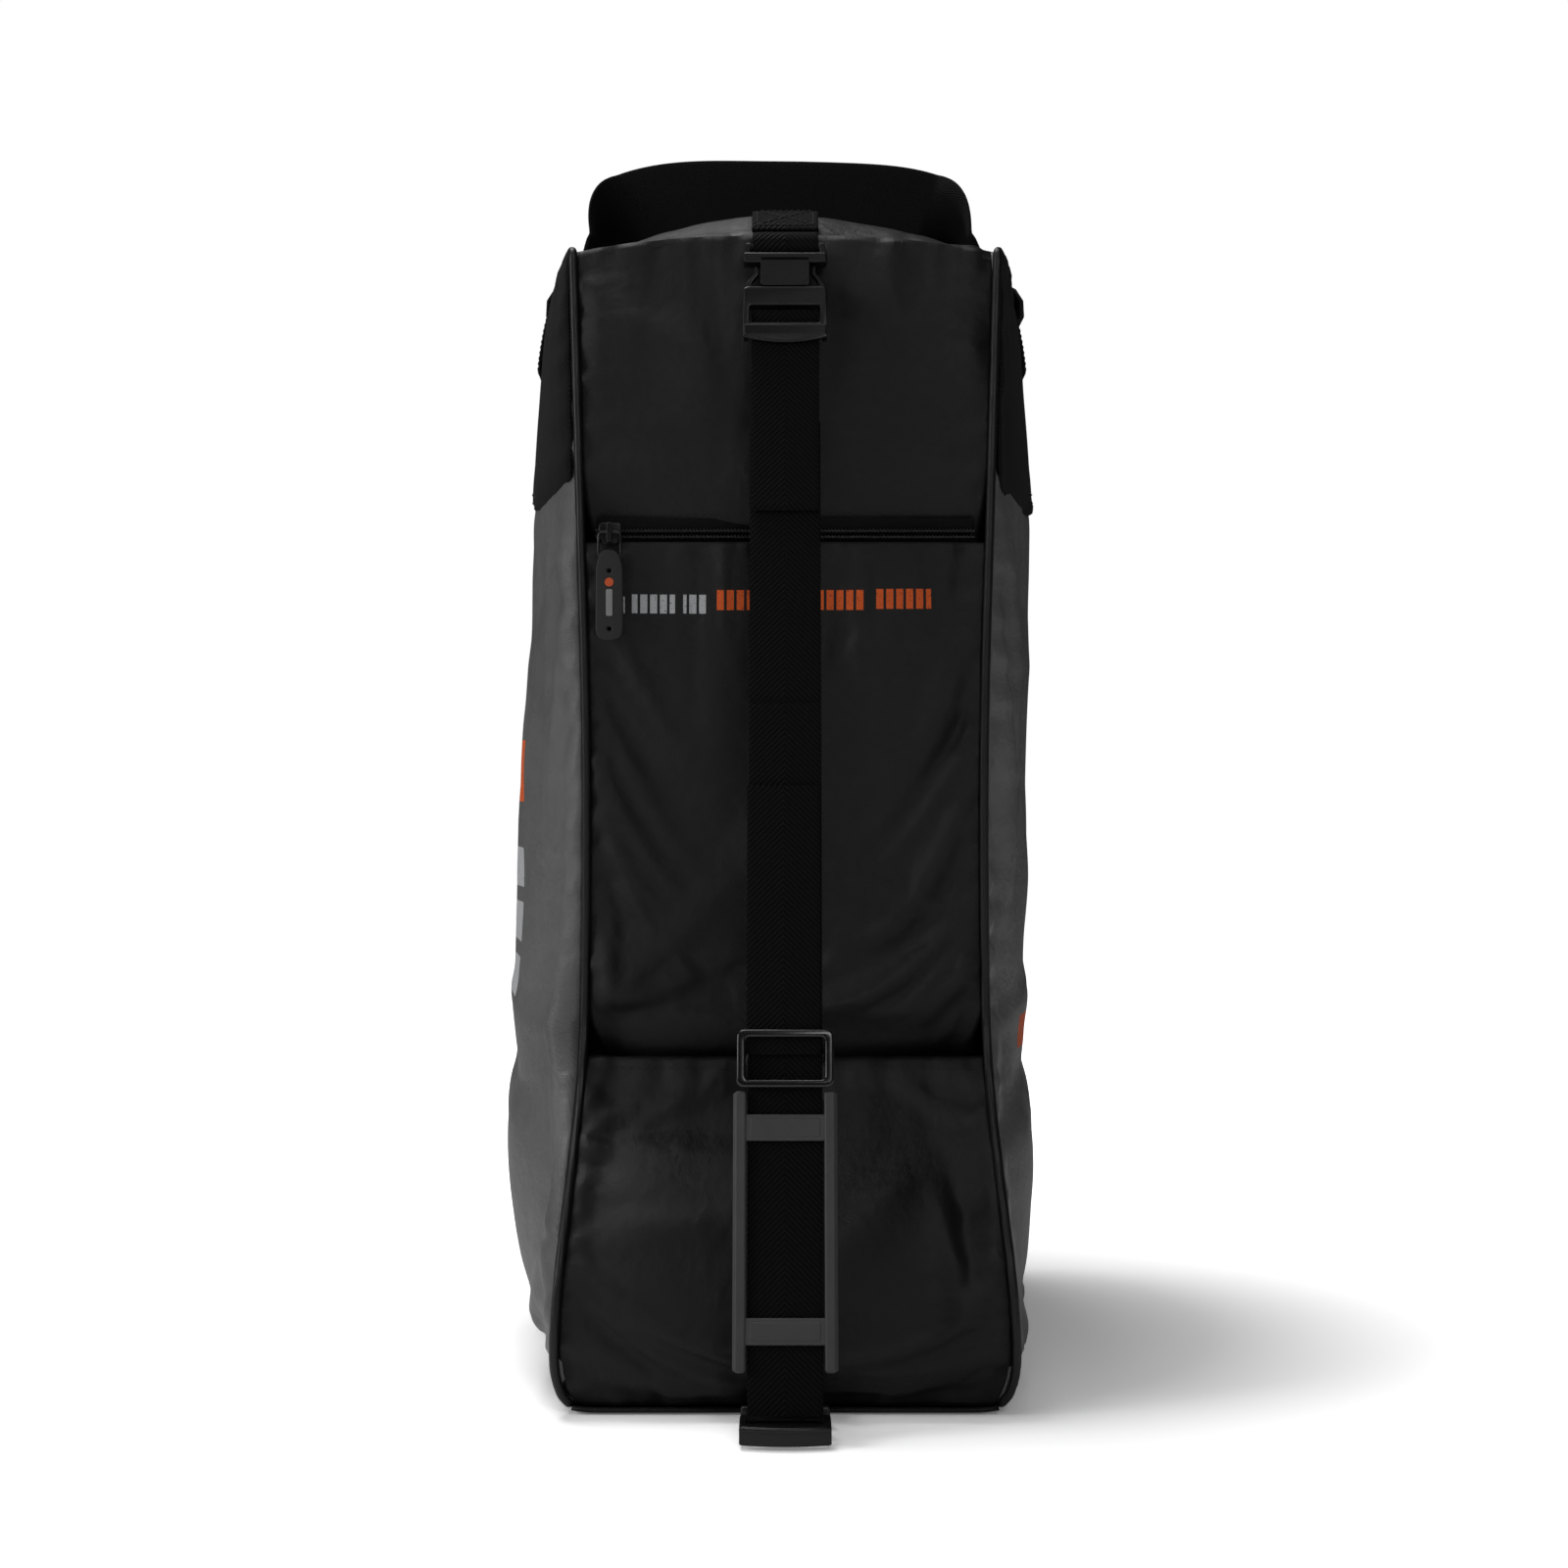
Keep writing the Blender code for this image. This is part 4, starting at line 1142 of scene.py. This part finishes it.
def axes(origin, down):
    x, z = Vector((1, 0, 0)), -down
    y = z.cross(x)
    place = Matrix.Identity(4)
    for column, vector in enumerate((x, y, z, origin)):
        place.col[column] = (*vector, 1.0 if column == 3 else 0.0)
    return place


def lower_place():
    root = Vector(JOINTS["lower_latch_left_squeeze"]["pos_m"])
    return axes(Vector((0, root.y + LATCH_ROOT * MM, root.z)), Vector((0, -1, 0)))


def mirror_outline(outline):
    return [(-x, y) for x, y in outline][::-1]


def both_sides(*left):
    """A symmetric outline from its left half."""
    return [*left, *mirror_outline(left)]


def arc_bottom(half, side_down, middle_down, steps=12):
    """Points of a bowed lower edge from -half to half."""
    points = []
    for n in range(steps + 1):
        x = lerp(-half, half, n / steps)
        points.append((x, -lerp(middle_down, side_down, (x / half) ** 2)))
    return points


def buckle(prefix, place, socket_body, plug_body, end_depth):
    """Side-release buckle: socket with webbing frame and neck, plug with ladder end, two latch arms."""
    wing = rounded_outline(((18.0, -8.4), (15.4, -8.4), (14.4, -2.2), (16.9, -2.2)), 0.8)
    shoulder = rounded_outline(both_sides((-18, -7.2), (-18, -11.6), (-10.6, -11.9)), 1.2)
    neck = rounded_outline(both_sides((-10.6, -9.0), (-10.6, -21.4), (-9.4, -22.4)), 1.0)
    socket = [
        ([wing], (-3.6, 2.5), 0.6),
        ([mirror_outline(wing)], (-3.6, 2.5), 0.6),
        ([box_outline(-15.6, 15.6, 2.2, 4.6, 0.8)], (-1.6, 0.8), 0.5),
        ([shoulder], (-5.2, 2.5), 0.9),
        ([neck], (-5.2, -3.8), 0.5),
        ([neck], (1.1, 2.5), 0.5),
    ]
    name = f"{prefix}_buckle_socket"
    plates(f"{name}_moulding", place, socket, ACETAL, socket_body, "black_acetal", name)

    ladder = [(-18.0, -30.0), *arc_bottom(18.0, 45.8, 48.4), (18.0, -30.0)]
    window = box_outline(-15.2, 15.2, 31.4, 39.4, 1.2)
    shoulders = rounded_outline(
        ((-18.0, -31.4), (18.0, -31.4), (18.0, -23.6), (16.0, -22.6), (-16.0, -22.6), (-18.0, -23.6)), 1.0
    )
    rail = box_outline(15.7, 18.0, 29.0, 45.6, 0.8)
    plug = [
        ([ladder, window], (-4.9, -3.2), 0.55),
        ([shoulders], (-4.9, 2.5), 0.9),
        ([rail], (-4.7, 2.0), 0.5),
        ([mirror_outline(rail)], (-4.7, 2.0), 0.5),
        ([box_outline(-2.5, 2.5, 14.0, 24.0, 0.8)], (-1.5, 0.6), 0.5),
    ]
    end_bar = [(-17.6, -40.2), *arc_bottom(17.6, 45.2, 48.0), (17.6, -40.2)]
    plug.append(([rounded_outline(end_bar, 0.8)], (-5.3, end_depth), 0.65))
    name = f"{prefix}_buckle_plug"
    plates(f"{name}_moulding", place, plug, ACETAL, plug_body, "black_acetal", name)

    prong = rounded_outline(
        ((17.2, -22.9), (17.0, -20.8), (13.0, -15.6), (13.2, -12.7), (11.8, -12.7), (11.2, -16.2),
         (14.4, -20.4), (14.2, -22.9)), 0.9
    )
    for side, outline in (("right", prong), ("left", mirror_outline(prong))):
        node = f"{prefix}_latch_{side}"
        parts = [([outline], (-2.8, 0.6), 0.5)]
        plates(f"{node}_arm", place, parts, ACETAL, node, "black_acetal", node)


def band_along(place, path, width, depth, name, material, steps=1, sag=None):
    """Webbing whose centre line is (local y, down) points in millimetres, resampled finely."""
    fine = []
    for (y0, d0), (y1, d1) in zip(path, path[1:]):
        count = max(1, round(math.hypot(y1 - y0, d1 - d0) / steps))
        fine += [(lerp(y0, y1, n / count), lerp(d0, d1, n / count)) for n in range(count)]
    fine.append(path[-1])
    centres = []
    for y, down in fine:
        lift = sag(down) if sag else 0.0
        centres.append(place @ Vector((0, (y + lift) * MM, -down * MM)))
    return sweep(name, centres, [(1, 0, 0)] * len(centres), width / 2 * MM, depth / 2 * MM, material)


def looped_path(start):
    """Round a buckle's bar and back under itself."""
    middle, out, back = 3.7, 2.4, -0.4
    turn = [math.radians(a) for a in range(0, 181, 15)]
    path = [(back - out, start)]
    path += [(back - out * math.cos(a), middle + out * math.sin(a)) for a in turn]
    return path + [(back + out, start)]


def strap():
    hanging, lying = strap_place(), lower_place()
    buckle("upper", hanging, "strap", "upper_plug", -3.4)
    buckle("lower", lying, "bag", "strap", 2.2)
    tab = band_along(hanging, looped_path(0.4), 28.5, 1.3, "upper_tab_loop", WEBBING, 0.8)
    finish_piece(tab, "strap", "black_webbing", "upper_strap_tab")
    tab = band_along(lying, looped_path(-13.5), 28.5, 1.3, "lower_tab_loop", WEBBING, 0.8)
    finish_piece(tab, "bag", "black_webbing", "lower_strap_tab")

    tail = [(-3.6, 33.5), (-3.1, 36.0), (-2.3, 38.5), (-2.0, 41.0), (-2.0, 121.0), (-1.7, 123.0)]
    piece = band_along(hanging, tail, 29.0, 1.4, "strap_tail_webbing", WEBBING)
    finish_piece(piece, "upper_plug", "black_webbing", "strap_tail")

    start = 83.0
    end = start + (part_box("strap_webbing")[1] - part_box("strap_webbing")[0]).yz.length / MM
    crease = 206.0

    def press_line(down):
        return 0.5 * math.exp(-(((down - crease) / 1.2) ** 2)) + 0.15 * math.sin(down / 19.0)

    run = [(0.0, start), (0.0, end - 0.6)]
    piece = band_along(hanging, run, 30.0, 1.5, "main_webbing", WEBBING, 0.8, press_line)
    finish_piece(piece, "strap", "black_webbing", "strap_webbing")

    tail = [(-1.8, 242.0), (-1.8, GLIDE_TOP + 10.0)]
    piece = band_along(hanging, tail, 30.0, 1.3, "adjuster_tail", WEBBING)
    piece.data.transform(Matrix.Translation((-0.6 * MM, 0, 0)))
    finish_piece(piece, "glide", "black_webbing", "glide_tail")
    tri_glide(hanging)
    shoulder_pad(hanging)
    tab_anchor()


def tri_glide(hanging):
    place = hanging @ Matrix.Translation((0, 0, -GLIDE_TOP * MM))
    rim = box_outline(-19.6, 19.6, 0.0, 23.6, 3.6)
    window = box_outline(-15.9, 15.9, 3.3, 20.3, 1.8)
    rail = box_outline(16.0, 19.4, 1.6, 22.0, 1.0)
    parts = [
        ([rim, window[::-1]], (-5.4, -2.9), 1.1),
        ([rail], (-4.6, 2.6), 0.8),
        ([mirror_outline(rail)], (-4.6, 2.6), 0.8),
        ([box_outline(-17.0, 17.0, 9.5, 14.0, 1.0)], (1.2, 2.6), 0.6),
    ]
    plates("tri_glide_frame", place, parts, GLOSS, "glide", "black_acetal", "tri_glide")


def shoulder_pad(hanging):
    place = hanging @ Matrix.Translation((0, 0, -PAD_TOP * MM))
    drop = 110.7
    rail = box_outline(15.6, 20.2, 0.0, drop, 1.6)
    lip = box_outline(18.2, 20.9, 0.6, drop - 0.6, 1.0)
    parts = [([box_outline(-16.2, 16.2, 3.0, drop - 3.0, 2.0)], (1.2, 4.2), 0.8)]
    for outline in (rail, mirror_outline(rail)):
        parts.append(([outline], (-3.4, 4.2), 1.0))
    for outline in (lip, mirror_outline(lip)):
        parts.append(([outline], (-1.8, 3.0), 0.8))
    for start in (9.4, drop - 21.2):
        parts.append(([box_outline(-16.2, 16.2, start, start + 10.6, 0.8)], (-2.9, -1.3), 0.6))
        parts.append(([box_outline(-14.0, 14.0, start + 1.6, start + 9.0, 0.8)], (-3.1, -2.0), 0.4))
    plates("shoulder_pad_moulding", place, parts, PAD, "pad", "grey_moulded_pad", "shoulder_pad")


def tab_anchor():
    soft_panel(
        "strap_tab_anchor", UP, 0, WEBBING, "bag", "black_webbing", {}, None, cell=0.9 * MM,
        blur=6, gather=0.0, thickness=1.2 * MM, warp=lift_top,
    )
    tab_lead()
    low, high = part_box("strap_tab_anchor")
    stitch_box("tab_anchor_stitches", "strap_tab_anchor", UP, low, high, 0, 1, 2.2 * MM)


def tab_lead():
    """The tab's webbing where it comes over the top seam, down to the strap's turning axis."""
    pivot = Vector(JOINTS["strap_swing"]["pos_m"])
    seam_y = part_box("top_panel")[0].y
    points = []
    for y in np.linspace(seam_y + 13 * MM, seam_y, 8):
        hit = cast(SKINS["top_panel"], UP, (0, y, 0))
        points.append(Vector((0, y, hit.z + 1.6 * MM)))
    shoulder = points[-1] + Vector((0, -3.5 * MM, -1.0 * MM))
    end = pivot + Vector((0, -0.4 * MM, 0))
    for n in range(9):
        t = n / 8
        bend = Vector((0, -1.2 * MM * math.sin(math.pi * t), 1.5 * MM * math.sin(math.pi * t)))
        points.append(shoulder.lerp(end, t) + bend)
    piece = sweep("upper_tab_lead", points, [(1, 0, 0)] * len(points), 14.2 * MM, 0.7 * MM, WEBBING)
    finish_piece(piece, "bag", "black_webbing")


def stitch_box(name, node, facing, low, high, across, along, inset):
    """A sewn box with a cross in it."""
    corners = []
    for a, b in ((low[across] + inset, low[along] + inset), (high[across] - inset, low[along] + inset),
                 (high[across] - inset, high[along] - inset), (low[across] + inset, high[along] - inset)):
        point = [0.0, 0.0, 0.0]
        point[across], point[along] = a, b
        corners.append(point)
    lines = [(corners[i], corners[(i + 1) % 4]) for i in range(4)]
    lines += [(corners[0], corners[2]), (corners[1], corners[3])]
    stitch_rows(name, SKINS[node], facing, lines, "bag", 2.6 * MM, 1.8 * MM)


# ---------------------------------------------------------------- handle


def handle():
    low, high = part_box("carry_handle")
    pivot = Vector(JOINTS["handle_swing"]["pos_m"])
    half_x = (high.x - low.x) / 2 - 2.2 * MM
    width = high.y - low.y
    rise = high.z - pivot.z - width / 2 + 4.5 * MM
    steps = 160

    def centre(t):
        angle = math.pi * t
        rising = max(0.0, math.sin(angle)) ** 0.50
        lean = 1 - 0.14 * rising
        x = -math.copysign(abs(math.cos(angle)) ** 0.66, math.cos(angle)) * half_x * lean
        z = pivot.z + rise * rising
        dip = 1.8 * MM * math.exp(-(((t - 0.55) / 0.14) ** 2))
        return Vector((x - 4 * MM * rising, pivot.y, z - dip))

    centres, across, widths = [], [], []
    for n in range(steps + 1):
        t = n / steps
        here = centre(t)
        along = (centre(min(1, t + 0.01)) - centre(max(0, t - 0.01))).normalized()
        sideways = Vector((0, 1, 0)).cross(along)
        near_end = min(t, 1 - t)
        turn = math.pi / 2 * min(1.0, max(0.0, (near_end - 0.08) / 0.16)) ** 1.2
        centres.append(here)
        across.append(Vector((0, math.cos(turn), 0)) + sideways * math.sin(turn))
        widths.append(width / 2 * min(1.0, 0.35 + near_end / 0.10))
    band = sweep("handle_band", centres, across, np.array(widths), 1.3 * MM, HANDLE_CLOTH)
    finish_piece(band, "handle", "black_webbing", "carry_handle")
    for name, sign in SIDES.items():
        node = f"handle_anchor_{name}"
        soft_panel(
            node, (0, sign), 1, COARSE, "bag", "black_webbing", {},
            lambda flat, grid, name=name: slump(flat, name), cell=1.4 * MM, blur=12,
            gather=0.1 * MM, thickness=1.4 * MM,
        )
        lead = [(112.6, 481.0), (112.4, 488.5), (109.5, 494.5), (104.0, 498.2), (half_x / MM, 499.2)]
        points = [Vector((sign * x * MM, pivot.y, z * MM)) for x, z in lead]
        flare = np.array((20.0, 18.0, 13.0, 9.0, 7.2)) * MM
        across = [Vector((0, 1, 0))] * len(points)
        piece = sweep(f"handle_lead_{name}", points, across, flare, 1.0 * MM, HANDLE_CLOTH)
        finish_piece(piece, "bag", "black_webbing")
        low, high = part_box(node)
        stitch_box(f"{node}_stitches", node, (0, sign), low, high, 1, 2, 3 * MM)


# ---------------------------------------------------------------- studio


def area_light(name, place, target, size, energy):
    data = bpy.data.lights.new(name, "AREA")
    data.shape = "DISK"
    data.size = size
    data.energy = energy
    light = link(bpy.data.objects.new(name, data))
    light.location = place
    light.rotation_euler = (Vector(target) - Vector(place)).to_track_quat("-Z", "Y").to_euler()


def studio():
    size = 4.0
    mesh = bpy.data.meshes.new("studio_floor")
    corners = ((-size, -size, 0), (size, -size, 0), (size, size, 0), (-size, size, 0))
    mesh.from_pydata(corners, [], [(0, 1, 2, 3)])
    mesh.materials.append(floor_look())
    link(bpy.data.objects.new("studio_floor", mesh))

    world = bpy.data.worlds.new("studio")
    world.use_nodes = True
    tree = world.node_tree
    background = tree.nodes["Background"]
    background.inputs["Color"].default_value = (1, 1, 1, 1)
    seen = tree.nodes.new("ShaderNodeLightPath").outputs["Is Camera Ray"]
    strength = tree.nodes.new("ShaderNodeMapRange")
    strength.inputs["To Min"].default_value = 0.03
    strength.inputs["To Max"].default_value = 1.0
    tree.links.new(seen, strength.inputs["Value"])
    tree.links.new(strength.outputs[0], background.inputs["Strength"])
    bpy.context.scene.world = world
    bpy.context.scene.view_settings.view_transform = "Standard"

    bag_middle, floor_in_front = (0, 0, 0.28), (0, -0.3, 0)
    area_light("key_left", (-1.9, -0.9, 0.9), bag_middle, 0.9, 11)
    area_light("top_rear", (-0.4, 0.3, 1.9), bag_middle, 0.9, 13)
    area_light("front_fill", (0.5, -2.0, 1.2), bag_middle, 0.7, 5)
    area_light("floor_wash", (-0.5, -0.7, 2.4), floor_in_front, 2.0, 8)


def camera():
    """Level and square on to the front, at mid height."""
    data = bpy.data.cameras.new("photo_view")
    data.lens = 61.58
    data.sensor_width = 36.0
    data.shift_y = 0.0056
    view = link(bpy.data.objects.new("photo_view", data))
    view.location = (-0.0005, -1.287, 0.255)
    view.rotation_euler = (math.radians(90), 0, 0)
    bpy.context.scene.camera = view


def carried_nodes():
    board = frame["nodes"]["base_board"]
    board.data.materials.clear()
    board.data.materials.append(BOARD)


bag_panels()
piping_cords()
zip_tapes()
zip_coils()
rear_flaps()
bag_stitching()
slider("pocket", "pocket_zip_slider", FRONT, "pocket_slider")
puller("pocket", "pocket_puller", "pocket_puller_swing", FRONT, "pocket_puller")
slider("main", "main_zip_slider", REAR, "main_slider")
puller("main", "main_puller", "main_puller_swing", REAR, "main_puller")
strap()
handle()
carried_nodes()
studio()
camera()

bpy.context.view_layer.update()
